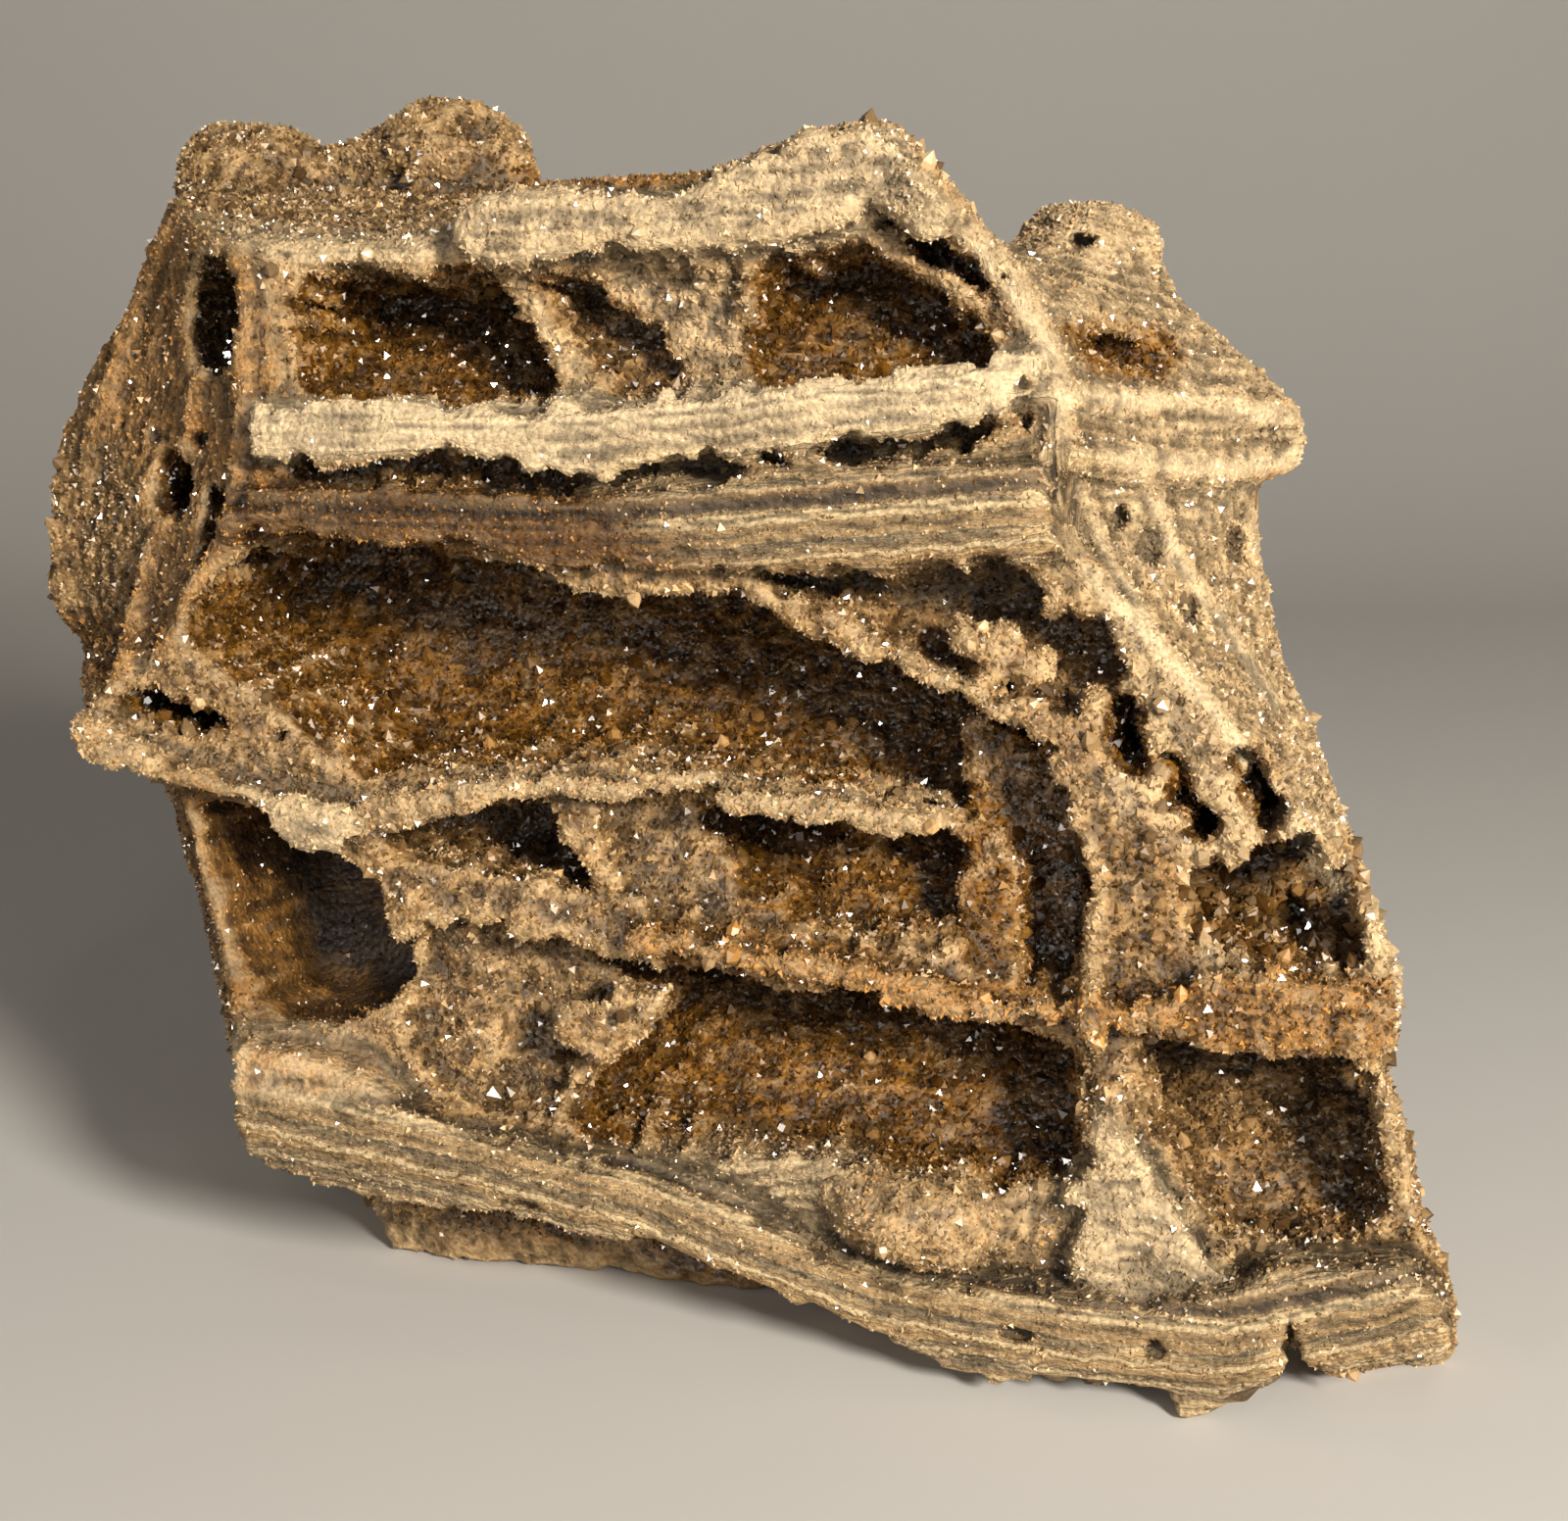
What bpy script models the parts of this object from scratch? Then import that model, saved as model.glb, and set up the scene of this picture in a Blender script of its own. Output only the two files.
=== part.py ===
"""A standing piece of petrified wood, its decayed cells open as hollows lined with quartz druse.

Run it with blender --background --python part.py, or from Blender's text editor.
Sizes are millimetres here and become metres where a mesh is made. +Z is up, and the face with the
hollows looks along -Y.

Outlines are drawn on a picture plane as the face is seen from one station point: x runs to the right
and y runs down, both in millimetres. A drawn point is carried along its line of sight to a plane that
lies a stated depth behind the face. The big shapes run on along the lines of sight, and the cells and
ledges run straight into the block.
"""

import math
import random
from collections import namedtuple

import bmesh
import bpy
from mathutils import Matrix, Vector
from mathutils.bvhtree import BVHTree

MM = 0.001
SEED = 41

# The station point that the face is drawn from, and its picture plane.
EYE_HEIGHT = 115.0
EYE_TO_FOOT = 237.0
PICTURE_DISTANCE = 258.4
PICTURE_CENTRE = (80.0, 77.6)
EYE_PITCH = math.radians(11.8)

# The plane of the face: it stands on the front foot, turned and leaning back a little.
FACE_TURN = math.radians(12.0)
FACE_LEAN = math.radians(4.0)
FRONT_FOOT = Vector((42.0, 0.0, 0.0))

# The middle of the finished piece's footprint, which becomes the origin.
FOOTPRINT_CENTRE = Vector((-7.8, 36.7, 0.0))

# Depths behind the face.
IN_FRONT = -14.0
FACE_NEAR = -4.0
FLANKS_START = 0.7
REAR_BODY_START = 15.0
FRONT_BODY_END = 22.0
LEFT_FLANK_END = 22.0
CROWN_SHELF_END = 27.0
FLANKS_END = 30.0
BACK_START = 40.0
BACK_BEND = 48.0
BACK_END = 55.0

# How far along a cell or ledge the rings of its loft lie, and the spots that carry a rib.
TAPER_RINGS = (0.0, 0.45, 0.8, 1.0)
RIB_STEP = 3.5
GROUND_SIZE = (400.0, 400.0, 100.0)

# Surface roughness, its two scales, and the size of the finished facets.
COARSE_GRAIN, COARSE_RELIEF = 17.0, 2.6
FINE_GRAIN, FINE_RELIEF = 6.0, 1.3
VOXEL = 1.1
BLOCK_FACETS = 5600

# The crystal crusts.
CRUST_GAP = 0.5
CRUST_DEPTH = 1.5
CRYSTAL_HEIGHTS = (0.7, 2.2)
LEAST_ROOM = 5.5
LEAST_CLEARANCE = 0.6
LOOK_AHEAD = 12.0
END_RELIEF = 2.5
CRYSTAL_SHARE = 0.6
CRUST_REACH = (1.05, 1.1)

EYE = Vector((0.0, -EYE_TO_FOOT, EYE_HEIGHT))
INTO_FACE = Vector((
    math.sin(FACE_TURN) * math.cos(FACE_LEAN),
    math.cos(FACE_TURN) * math.cos(FACE_LEAN),
    -math.sin(FACE_LEAN),
))
ALONG_FACE = Vector((math.cos(FACE_TURN), -math.sin(FACE_TURN), 0.0))

Cell = namedtuple("Cell", "name outline near far taper", defaults=(0.82,))
Rib = namedtuple("Rib", "name route radius")
Lump = namedtuple("Lump", "name place radii")

# The block's silhouette, from the upper left round by the right, and its foot seen from the front.
CROWN = [
    (16.8, 22.5), (19.5, 16.5), (24.5, 14.2), (30, 15), (35.5, 13), (44, 11.3), (50.5, 12.3),
    (53.5, 15.5), (55.7, 19.6), (64, 18.8), (72, 18.2), (78, 16), (84.5, 13.4), (91, 13),
    (93.5, 16.5), (97.5, 21.5), (102.5, 26.3), (106.5, 25.2), (111.5, 21.2), (116, 22.8),
    (119.5, 27), (122, 31), (126.5, 34.5), (132.5, 40.5), (134.4, 45.6),
]
RIGHT_SIDE = [
    (128.5, 48), (128.7, 53), (130.2, 58), (131.2, 66), (134.5, 74), (137.5, 80), (139.5, 88),
    (142, 100.5), (141.5, 106.5), (140, 108),
]
FRONT_BASE = [
    (143.5, 118), (144, 124), (147.3, 132), (148, 138.5), (144, 138), (136, 140.2), (133, 137),
    (129, 138.5), (121.5, 142.8), (119, 140), (110, 138), (100, 139.2), (90, 134), (83, 132),
    (69, 126), (62, 124), (55, 122.6), (45, 121.2), (36, 120.6), (29, 118.6), (25.5, 116),
]
REAR_BASE = [
    (142, 118), (142, 124), (143, 132), (143, 137), (140, 141), (136, 145), (133, 147),
    (129, 149), (121.5, 152), (119, 152), (110, 150), (100, 147), (90, 142), (83, 138),
    (69, 134), (62, 132), (55, 131), (45, 130.5), (38.5, 126), (34, 119), (25.5, 114),
]
LEFT_SIDE = [
    (24.5, 104), (21.5, 93), (17.5, 78.5), (10, 75), (9.2, 71), (7.5, 62), (5, 52), (6.5, 46),
    (9, 40), (13, 33), (15.8, 28.5),
]
FRONT_OUTLINE = CROWN + RIGHT_SIDE + FRONT_BASE + LEFT_SIDE
REAR_OUTLINE = CROWN + RIGHT_SIDE + REAR_BASE + LEFT_SIDE

# How the silhouette closes in towards the back: depth, width, height, about BACK_CENTRE.
BACK_CENTRE = (80.0, 88.0)
BACK_SECTIONS = [
    (REAR_BODY_START, 0.99, 0.99), (FLANKS_END, 0.985, 0.985), (BACK_START, 0.89, 0.91),
    (BACK_BEND, 0.80, 0.83), (BACK_END, 0.66, 0.72),
]

# The right flank falls back from the main ridge, the left one from the ribs of the upper left corner,
# and the crown stands back behind a shelf.
RIGHT_FLANK_FRONT = [
    (92, 8), (98, 21), (104, 29), (108, 35), (109, 42), (109, 56), (114, 62), (119, 67), (127, 76),
    (136, 87), (144, 99), (165, 99), (165, 8),
]
RIGHT_FLANK_BACK = [
    (96, 8), (100, 23), (105, 25.6), (112, 22), (121, 30), (133, 41.5), (128.7, 49.5),
    (130.7, 66), (134, 73), (138.5, 86), (142, 99), (165, 99), (165, 8),
]
LEFT_FLANK_FRONT = [
    (-5, 8), (19, 19), (23, 28), (25, 40), (25, 50), (21, 58), (17, 65), (8.5, 71), (5, 76), (-5, 76),
]
LEFT_FLANK_BACK = [
    (-5, 8), (15, 20), (14.5, 30), (9, 40), (5, 50), (5.5, 56), (7.5, 62), (8.5, 68), (5, 76), (-5, 76),
]
CROWN_FRONT = [(8, 2), (58, 2), (56.5, 21), (48, 23.8), (40, 25), (25, 24.6), (17, 23), (8, 22)]
CROWN_BACK = [(8, 2), (57, 2), (56, 19), (48, 19.6), (40, 19), (25, 18.6), (17, 19), (8, 18)]

# Bands, plates and mounds that stand out of the face.
PROUD = [
    Cell("Upper ledge", [
        (29, 41.5), (38, 41), (45, 41.5), (55, 40.8), (70, 40), (85, 39.2), (97, 37.5), (103, 36.5),
        (104, 40), (100, 42.3), (90, 44.3), (80, 45.3), (70, 46.5), (64, 48.5), (60, 49), (53, 46.5),
        (48, 45), (38, 45.8), (30, 46.5),
    ], -6, 14, 0.97),
    Cell("Second ledge", [
        (24, 50.5), (35, 50), (50, 50.3), (60, 51), (70, 50), (78, 48.5), (95, 48), (106, 47.5),
        (108, 56.5), (103, 57.5), (90, 57), (72, 58), (58, 57.2), (50, 55.7), (35, 54.5), (24, 54.8),
    ], -3.5, 14, 0.97),
    Cell("Top ledge", [
        (47, 22), (52, 20.5), (58, 20), (66, 20.5), (72, 19.5), (75, 17), (84, 14), (91, 13.5),
        (93.5, 17), (97, 22), (96, 24.5), (88, 23), (80, 25), (72, 26), (60, 25.5), (52, 26.5), (48, 25),
    ], -4, 22, 0.96),
    Cell("Floor shelf", [
        (9.5, 71.8), (17, 76.2), (26, 79.3), (38, 81.8), (48, 79.2), (58, 78.4), (66, 79.6), (80, 80.4),
        (97, 83), (98, 85), (80, 82.6), (66, 82), (56, 80.5), (46, 82.5), (37.5, 85.5), (31, 84),
        (24, 81), (15, 78.5), (9.8, 75.6),
    ], -5, 18, 0.98),
    Cell("Crumbly ledge", [
        (64, 94.5), (76, 95.5), (88, 97.5), (100, 101), (109, 101), (118, 100.5), (124, 99.5),
        (130, 98.4), (136, 100), (141.5, 100.5), (141.8, 106.5), (128, 106), (112, 104.8),
        (100, 103.8), (88, 100.6), (76, 98.4), (66, 97),
    ], -5, 20, 0.97),
    Cell("Banded base", [
        (25, 105), (31, 105.5), (38, 107.5), (42, 111.5), (50, 115), (58, 117.5), (66, 118.5),
        (75, 121.5), (85, 127.5), (95, 130), (105, 130.5), (112, 131), (120, 131.5), (127, 129.5),
        (131, 127.5), (136, 128), (143.5, 127.5), (147.3, 132), (148, 138.5), (133, 137),
        (129, 138.5), (121.5, 143), (119, 140), (110, 138), (100, 139.2), (90, 134), (83, 132),
        (69, 126), (55, 122.6), (36, 120.6), (25.5, 116),
    ], -6, 12, 0.97),
    Cell("Lower left wall", [
        (39, 92), (46, 91), (54, 93.5), (62, 95), (66, 99), (60, 104), (56, 108), (57, 112), (54, 114),
        (46, 113), (41, 109),
    ], -1, 12, 0.98),
    Cell("Rear left foot", [
        (38, 118), (52, 119), (68, 121), (70, 127), (66, 134), (44, 134), (38.5, 125.5),
    ], 17.5, 40, 0.98),
]

# The open cells, from the top row down.
CELLS = [
    Cell("Top left hole", [
        (18.2, 27), (22, 25.8), (24.4, 28.6), (24.4, 33.8), (21.6, 37.4), (17.8, 36), (16.6, 31.5),
    ], FACE_NEAR, 23, 0.85),
    Cell("Plate recess", [
        (46, 26.8), (52, 27.6), (60, 26.6), (72, 27), (76, 27), (75, 33), (76, 39.5), (60, 40.3),
        (54, 37), (53, 33),
    ], FACE_NEAR, 7, 0.97),
    Cell("Upper cell", [
        (30, 28.5), (40, 28.2), (48, 27), (49.5, 29), (53, 34), (55, 37), (56.5, 40.5), (44, 41.3),
        (31, 41.3), (29.5, 36),
    ], FACE_NEAR, 27, 0.85),
    Cell("Three cornered pocket", [
        (52.2, 28.3), (57.5, 28.8), (62.9, 31.6), (66.4, 35), (68.2, 40), (60, 39.8), (57.5, 36),
        (55, 33.5),
    ], 2, 19, 0.75),
    Cell("Upper right cell", [
        (76.5, 27.5), (88, 25), (91, 26), (96, 30), (101, 34.5), (101.5, 37), (90, 38.8), (76.5, 39.8),
        (75.5, 33),
    ], FACE_NEAR, 17, 0.82),
    Cell("Shoulder slot", [
        (88.5, 20.5), (95, 22.5), (102, 29.5), (99, 29.6), (92, 26.6), (89, 23.6),
    ], FACE_NEAR, 12, 0.7),
    Cell("Gap under the upper ledge", [
        (31, 46), (48, 45.5), (60, 48.3), (70, 46.2), (82, 45.2), (92, 44.4), (101, 42.6), (101, 45.4),
        (90, 47), (78, 47.8), (70, 49.2), (60, 50), (48, 49.6), (31, 49),
    ], -2.5, 9, 0.8),
    Cell("Left pocket", [(11.5, 47), (15.5, 46.5), (16, 51.5), (12, 52.5)], 0, 26, 0.8),
    Cell("Left slot", [(19.8, 50.5), (22, 50.5), (22, 57.5), (19.6, 58)], 0, 20, 0.7),
    Cell("Main chamber", [
        (25, 55.5), (35, 55), (45, 55.7), (52, 57.2), (58, 58.6), (74, 59.4), (78, 62), (84, 65.5),
        (92, 69), (98, 72), (103, 75), (108, 79), (110.5, 84), (112, 90), (111, 95), (109.5, 100.5),
        (103, 99), (103.4, 88), (98, 83), (92, 81.7), (82, 80.2), (72, 78.8), (64, 77), (56, 77.6),
        (48, 78), (38, 80.3), (31, 76), (28, 71), (22.5, 68.5), (19.2, 66), (19, 62.5), (22, 58),
    ], FACE_NEAR - 2, 31, 0.93),
    Cell("Curtain pocket", [
        (76, 58.2), (100, 57.8), (106, 60.5), (112, 64.8), (115.5, 68.4), (112, 69), (106, 69.3),
        (100, 68.6), (92, 65.4), (84, 61.8), (79, 59.8),
    ], FACE_NEAR, 13, 0.85),
    Cell("Left end pocket", [
        (11.8, 71.2), (15, 71.6), (23, 72.4), (23, 75), (17, 74.5), (12.5, 73),
    ], FACE_NEAR - 2, 24, 0.9),
    Cell("Right slot high", [
        (113.3, 71.5), (115.5, 71), (117, 76.5), (116.6, 79), (114.2, 79), (113, 75),
    ], FACE_NEAR, 16, 0.8),
    Cell("Right slot mid", [
        (118, 77), (120.8, 77.5), (122, 82), (124.5, 86.5), (121, 85.6), (118.8, 82),
    ], FACE_NEAR, 18, 0.8),
    Cell("Right slot low", [
        (125.5, 76.5), (129, 77.5), (131.5, 83), (129, 85.4), (126, 80.5),
    ], FACE_NEAR, 22, 0.8),
    Cell("Right pocket", [
        (120, 90), (123, 88), (127, 88.8), (131, 86), (135, 87.4), (138, 91), (139, 96), (139, 99),
        (133, 99.3), (130.5, 98), (124, 97), (120.5, 95),
    ], FACE_NEAR, 20, 0.85),
    Cell("Shoulder pocket", [
        (108.5, 33.5), (112, 32.6), (117, 33.2), (119, 36), (117, 38), (111.5, 37.4),
    ], FACE_NEAR, 20, 0.8),
    Cell("Middle cell", [
        (61.5, 82.8), (66, 82.8), (72, 82.6), (80, 83), (90, 84), (97, 85), (97.8, 90), (97.3, 94.8),
        (90, 96.6), (82, 95), (76, 94.3), (70, 93.6), (65.5, 93.6), (63.5, 88),
    ], FACE_NEAR - 2, 9, 0.97),
    Cell("Middle cell's deep end", [
        (73, 83.6), (80, 83.6), (90, 84.6), (96.6, 85.4), (97.2, 90), (96.6, 93.6), (90, 94.4),
        (82, 93.6), (76, 92.4), (73.4, 88),
    ], FACE_NEAR, 21, 0.88),
    Cell("Lower left cell", [
        (38, 85.8), (40, 83.8), (46, 83), (55, 81.4), (57, 83.4), (59.5, 88), (60.5, 91.4), (52, 90.4),
        (44, 88.3), (39.5, 87),
    ], FACE_NEAR, 15, 0.82),
    Cell("Left deep hollow", [
        (20.6, 81.5), (26, 82), (31, 85.6), (35.5, 88.6), (38.5, 90.6), (38.6, 97), (38.6, 102.5),
        (35, 104.6), (27, 103.8), (25, 98), (23, 92), (21, 86),
    ], FACE_NEAR - 2, 26, 0.86),
    Cell("Lower chamber", [
        (58, 96.5), (66, 98.2), (76, 99.4), (88, 101.6), (100, 104.8), (109, 106.6), (110, 110),
        (111, 115), (113.4, 119), (108, 121), (100, 122), (92, 120.4), (86, 118.4), (80, 117.7),
        (72, 116), (66, 116), (60, 117), (57, 113), (59, 108), (66, 103), (60, 100),
    ], FACE_NEAR - 2, 25, 0.88),
    Cell("Lower chamber's left end", [
        (41.5, 94), (52, 94.5), (60, 96.6), (66, 102), (59, 109), (57, 114.6), (48, 113.4), (43, 109.6),
        (41, 103),
    ], FACE_NEAR, 5.5, 0.88),
    Cell("Right chamber", [
        (118.4, 107.3), (125, 107.4), (134, 108.2), (138.6, 109), (140.5, 113), (141.4, 119),
        (141.6, 123.5), (139, 126.3), (133, 126.6), (128, 126), (124, 125), (121, 120), (119, 116),
        (118, 111),
    ], FACE_NEAR - 2, 23, 0.88),
    Cell("Notch in the base", [(130.5, 134.6), (133.2, 134.2), (134, 141), (130, 141)], -10, 3, 0.9),
    Cell("Hollow under the base", [
        (26, 119.2), (36, 122.4), (46, 123.4), (56, 124.8), (68, 128.4), (80, 133.4), (84, 150),
        (26, 150),
    ], -10, 13, 1.0),
]

# Thin plates that stand in the cells, and mounds on their floors.
PLATES = [
    Cell("Tongue plate", [
        (25, 79.8), (30, 80), (37, 82.5), (38.2, 86), (36.8, 88.4), (33.4, 86.8), (29, 83.6),
    ], -5.5, -3.4, 0.9),
    Cell("Hanging crust", [
        (56, 57.4), (75, 58), (74, 60.4), (69, 60.9), (63, 60.3), (58, 59.8),
    ], -0.5, 4, 0.9),
    Cell("Jagged piece", [(57, 103), (64, 99.6), (70, 101.4), (66, 105), (60, 107.4)], -2, 4, 0.8),
    Cell("Chamber lip", [
        (102.8, 76), (106, 78), (108, 84), (108.4, 92), (107, 100), (103, 99), (104.4, 88),
    ], 9, 33, 1.0),
]

RIBS = [
    Rib("Rib left of the hole", [(17.5, 24), (15.5, 30), (12.5, 38), (9.5, 46)], 1.5),
    Rib("Rib right of the hole", [(24.6, 26), (25.2, 31), (25.4, 38), (25, 47)], 1.3),
    Rib("Second rib", [(27.6, 26.5), (28, 33), (28.4, 40)], 1.2),
    Rib("Long rib of the left flank", [(21.5, 37), (18.5, 48), (15.5, 58), (12.5, 70)], 1.6),
    Rib("Short rib of the left flank", [(24.5, 48), (23, 56), (19.5, 62.5)], 1.4),
    Rib("Main ridge high", [(93.5, 18), (98.5, 24), (103.5, 30), (107, 36), (108.5, 46)], 1.5),
    Rib("Main ridge low", [(108.5, 55), (113, 61), (119, 67), (125, 74), (131, 83), (137, 91)], 1.7),
    Rib("Vein across the shoulder", [(107, 46.6), (116, 47), (125, 47.8), (133, 46.4)], 1.5),
    Rib("Upper vein", [(106, 40), (114, 41), (123, 41), (131, 42.5)], 1.3),
    Rib("Steep vein", [(116, 48), (119.5, 56), (125, 64), (130, 72)], 1.2),
    Rib("Short vein", [(110, 50), (113, 57), (118, 65)], 1.3),
    Rib("Wall between chambers", [(110, 84), (111.5, 92), (111, 100), (112, 107)], 1.7),
    Rib("Vein of the lower left wall", [(42, 92), (48, 97), (51, 104), (57, 108)], 1.1),
]

# Mounds: each place is a drawn point and its depth, and the radii run along X, Y and Z. The first row
# stands on the block's outside, and the second in the opened cells.
OUTER_MOUNDS = [
    Lump("Knob on the shoulder", (112, 26, 27), (6.5, 7, 5)),
    Lump("Bulge of the left flank", (10, 55, 27), (6, 9, 11)),
    Lump("Crown mound left", (25, 18.5, 31), (8, 8, 6)),
    Lump("Crown mound right", (47, 16.5, 31), (9, 8, 7)),
]
INNER_MOUNDS = [
    Lump("Strut's foot", (117.5, 126, 1), (8.5, 9, 5)),
    Lump("Mound on the lower floor", (96, 124.5, 3), (11.5, 9, 4.6)),
    Lump("Strut", (114, 112, 6), (4, 8, 9)),
    Lump("Lumps in the lower left", (49, 106, 6), (5, 5, 6)),
    Lump("Shelf crumbs", (30, 77.5, 4), (8, 7, 3.4)),
]

# Rounded hollows of the back, which shows the same build more weathered, of the top, and of the
# underside, which leaves the feet. A place is measured from the front foot: along the face, behind
# it, and up.
HOLLOWS = [
    Lump("Back hollow 1", (-98, 57, 98), (19, 8, 6)),
    Lump("Back hollow 2", (-80, 59, 94), (15, 8, 7)),
    Lump("Back hollow 3", (-48, 58, 104), (17, 9, 5)),
    Lump("Back hollow 4", (-74, 60, 77), (31, 8, 5)),
    Lump("Back hollow 5", (-27, 57, 84), (13, 8, 7)),
    Lump("Back hollow 6", (-20, 56, 76), (10, 8, 4)),
    Lump("Back hollow 7", (-104, 58, 60), (17, 8, 6)),
    Lump("Back hollow 8", (-58, 61, 60), (20, 9, 5)),
    Lump("Back hollow 9", (-36, 60, 56), (19, 9, 7)),
    Lump("Back hollow 10", (-86, 60, 41), (24, 8, 5)),
    Lump("Back hollow 11", (-62, 61, 37), (14, 8, 6)),
    Lump("Back hollow 12", (-28, 58, 36), (14, 8, 7)),
    Lump("Back hollow 13", (-66, 60, 20), (25, 8, 4.5)),
    Lump("Top hollow 1", (-72, 31, 130), (15, 12, 6)),
    Lump("Top hollow 2", (-34, 40, 124), (13, 9, 5)),
    Lump("Underside hollow 1", (-62, 36, -3), (30, 13, 11)),
    Lump("Underside hollow 2", (-36, 40, -3), (24, 13, 9)),
    Lump("Underside hollow 3", (-16, 26, -3), (16, 13, 8)),
]

# Each crust's name, the cells that it lines, and the depth at which it starts.
CRUSTS = [
    ("druse_main_chamber", ["Main chamber"], 2.5),
    ("druse_upper_cell", ["Upper cell"], 2.5),
    ("druse_upper_right_cell", ["Upper right cell"], 2.5),
    ("druse_middle_cell", ["Middle cell", "Middle cell's deep end"], 2.0),
    ("druse_lower_chamber", ["Lower chamber"], 2.5),
    ("druse_right_chamber", ["Right chamber"], 6.0),
    ("druse_right_pocket", ["Right pocket"], 10.0),
]


def line_of_sight(x, y):
    """The direction in which a drawn point is seen from the station point."""
    across, below = x - PICTURE_CENTRE[0], y - PICTURE_CENTRE[1]
    forward = PICTURE_DISTANCE * math.cos(EYE_PITCH) - below * math.sin(EYE_PITCH)
    down = below * math.cos(EYE_PITCH) + PICTURE_DISTANCE * math.sin(EYE_PITCH)
    return Vector((across, forward, -down))


def place(x, y, depth):
    """The point on the line of sight that lies depth behind the plane of the face."""
    direction = line_of_sight(x, y)
    reach = (depth + INTO_FACE.dot(FRONT_FOOT - EYE)) / INTO_FACE.dot(direction)
    return EYE + reach * direction


def from_foot(along, behind, up):
    """The point that lies along the face, behind it and up from the front foot."""
    return FRONT_FOOT + ALONG_FACE * along + INTO_FACE * behind + Vector((0.0, 0.0, up))


def drawn(point):
    """The drawn x and y of a point of the piece, and its depth behind the face."""
    ray = point - EYE
    ahead = ray.y * math.cos(EYE_PITCH) - ray.z * math.sin(EYE_PITCH)
    up = ray.y * math.sin(EYE_PITCH) + ray.z * math.cos(EYE_PITCH)
    scale = PICTURE_DISTANCE / ahead
    x = PICTURE_CENTRE[0] + ray.x * scale
    y = PICTURE_CENTRE[1] - up * scale
    return x, y, INTO_FACE.dot(point - FRONT_FOOT)


def at_home(point):
    """A point of the piece in metres from the middle of its footprint."""
    return (point - FOOTPRINT_CENTRE) * MM


def inside(x, y, outline):
    """Whether a drawn point lies inside an outline, by counting the edges to its right."""
    crossings = 0
    for (x1, y1), (x2, y2) in zip(outline, outline[1:] + outline[:1]):
        if (y1 > y) != (y2 > y) and x < x1 + (y - y1) * (x2 - x1) / (y2 - y1):
            crossings += 1
    return crossings % 2 == 1


def new_collection(name, parent):
    collection = bpy.data.collections.new(name)
    parent.children.link(collection)
    return collection


def add_object(name, bm, collection, helper=True):
    """Make an object of a bmesh with its faces pointing out; a helper is never rendered."""
    bmesh.ops.recalc_face_normals(bm, faces=bm.faces[:])
    mesh = bpy.data.meshes.new(name)
    bm.to_mesh(mesh)
    bm.free()
    obj = bpy.data.objects.new(name, mesh)
    collection.objects.link(obj)
    if helper:
        obj.hide_render = True
        obj.display_type = "WIRE"
    return obj


def loft(name, rings, collection):
    """Skin a row of rings that have the same number of points, and close both ends."""
    bm = bmesh.new()
    rows = [[bm.verts.new(at_home(point)) for point in ring] for ring in rings]
    for row, following in zip(rows, rows[1:]):
        for i in range(len(row)):
            j = (i + 1) % len(row)
            bm.faces.new((row[i], row[j], following[j], following[i]))
    bm.faces.new(rows[0])
    bm.faces.new(rows[-1])
    bmesh.ops.triangulate(bm, faces=bm.faces[:])
    return add_object(name, bm, collection)


def seen_loft(name, sections, collection):
    """A loft along the lines of sight: each section is an outline and its depth."""
    return loft(name, [[place(x, y, depth) for x, y in line] for line, depth in sections], collection)


def shrunk(outline, centre, width, height):
    return [(centre[0] + (x - centre[0]) * width, centre[1] + (y - centre[1]) * height) for x, y in outline]


def straight_loft(cell, collection):
    """A cell or ledge: its outline runs straight into the block and closes in to a rounded end."""
    drawn_depth = max(cell.near, 0.0)
    mouth = [place(x, y, drawn_depth) for x, y in cell.outline]
    centre = sum(mouth, Vector()) / len(mouth)
    rings = []
    for part in TAPER_RINGS:
        depth = cell.near + part * (cell.far - cell.near) - drawn_depth
        size = 1.0 - (1.0 - cell.taper) * part ** 2
        rings.append([centre + (point - centre) * size + INTO_FACE * depth for point in mouth])
    return loft(cell.name, rings, collection)


def build_rib(rib, surface, collection):
    """A round rib that follows its drawn route over the surface of the block, as a mesh."""
    curve = bpy.data.curves.new(rib.name, "CURVE")
    curve.dimensions = "3D"
    curve.bevel_depth = rib.radius * MM
    curve.bevel_resolution = 1
    curve.use_fill_caps = True
    spline = curve.splines.new("POLY")
    points = []
    for (x1, y1), (x2, y2) in zip(rib.route, rib.route[1:]):
        steps = max(1, round(math.hypot(x2 - x1, y2 - y1) / RIB_STEP))
        points += [on_surface(x1 + (x2 - x1) * i / steps, y1 + (y2 - y1) * i / steps, surface)
                   for i in range(steps)]
    points.append(on_surface(*rib.route[-1], surface))
    points = [point for point in points if point]
    spline.points.add(len(points) - 1)
    for spot, point in zip(spline.points, points):
        spot.co = (*point, 1.0)
    tube = bpy.data.objects.new(rib.name, curve)
    collection.objects.link(tube)
    bpy.context.view_layer.update()
    evaluated = tube.evaluated_get(bpy.context.evaluated_depsgraph_get())
    bm = bmesh.new()
    bm.from_mesh(bpy.data.meshes.new_from_object(evaluated))
    bpy.data.objects.remove(tube)
    bmesh.ops.remove_doubles(bm, verts=bm.verts[:], dist=0.00001)
    return add_object(rib.name, bm, collection)


def on_surface(x, y, surface):
    """Where the line of sight through a drawn point first meets the block, in the object's own place."""
    hit, _, _, _ = surface.ray_cast(at_home(EYE), line_of_sight(x, y).normalized())
    return hit


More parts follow.
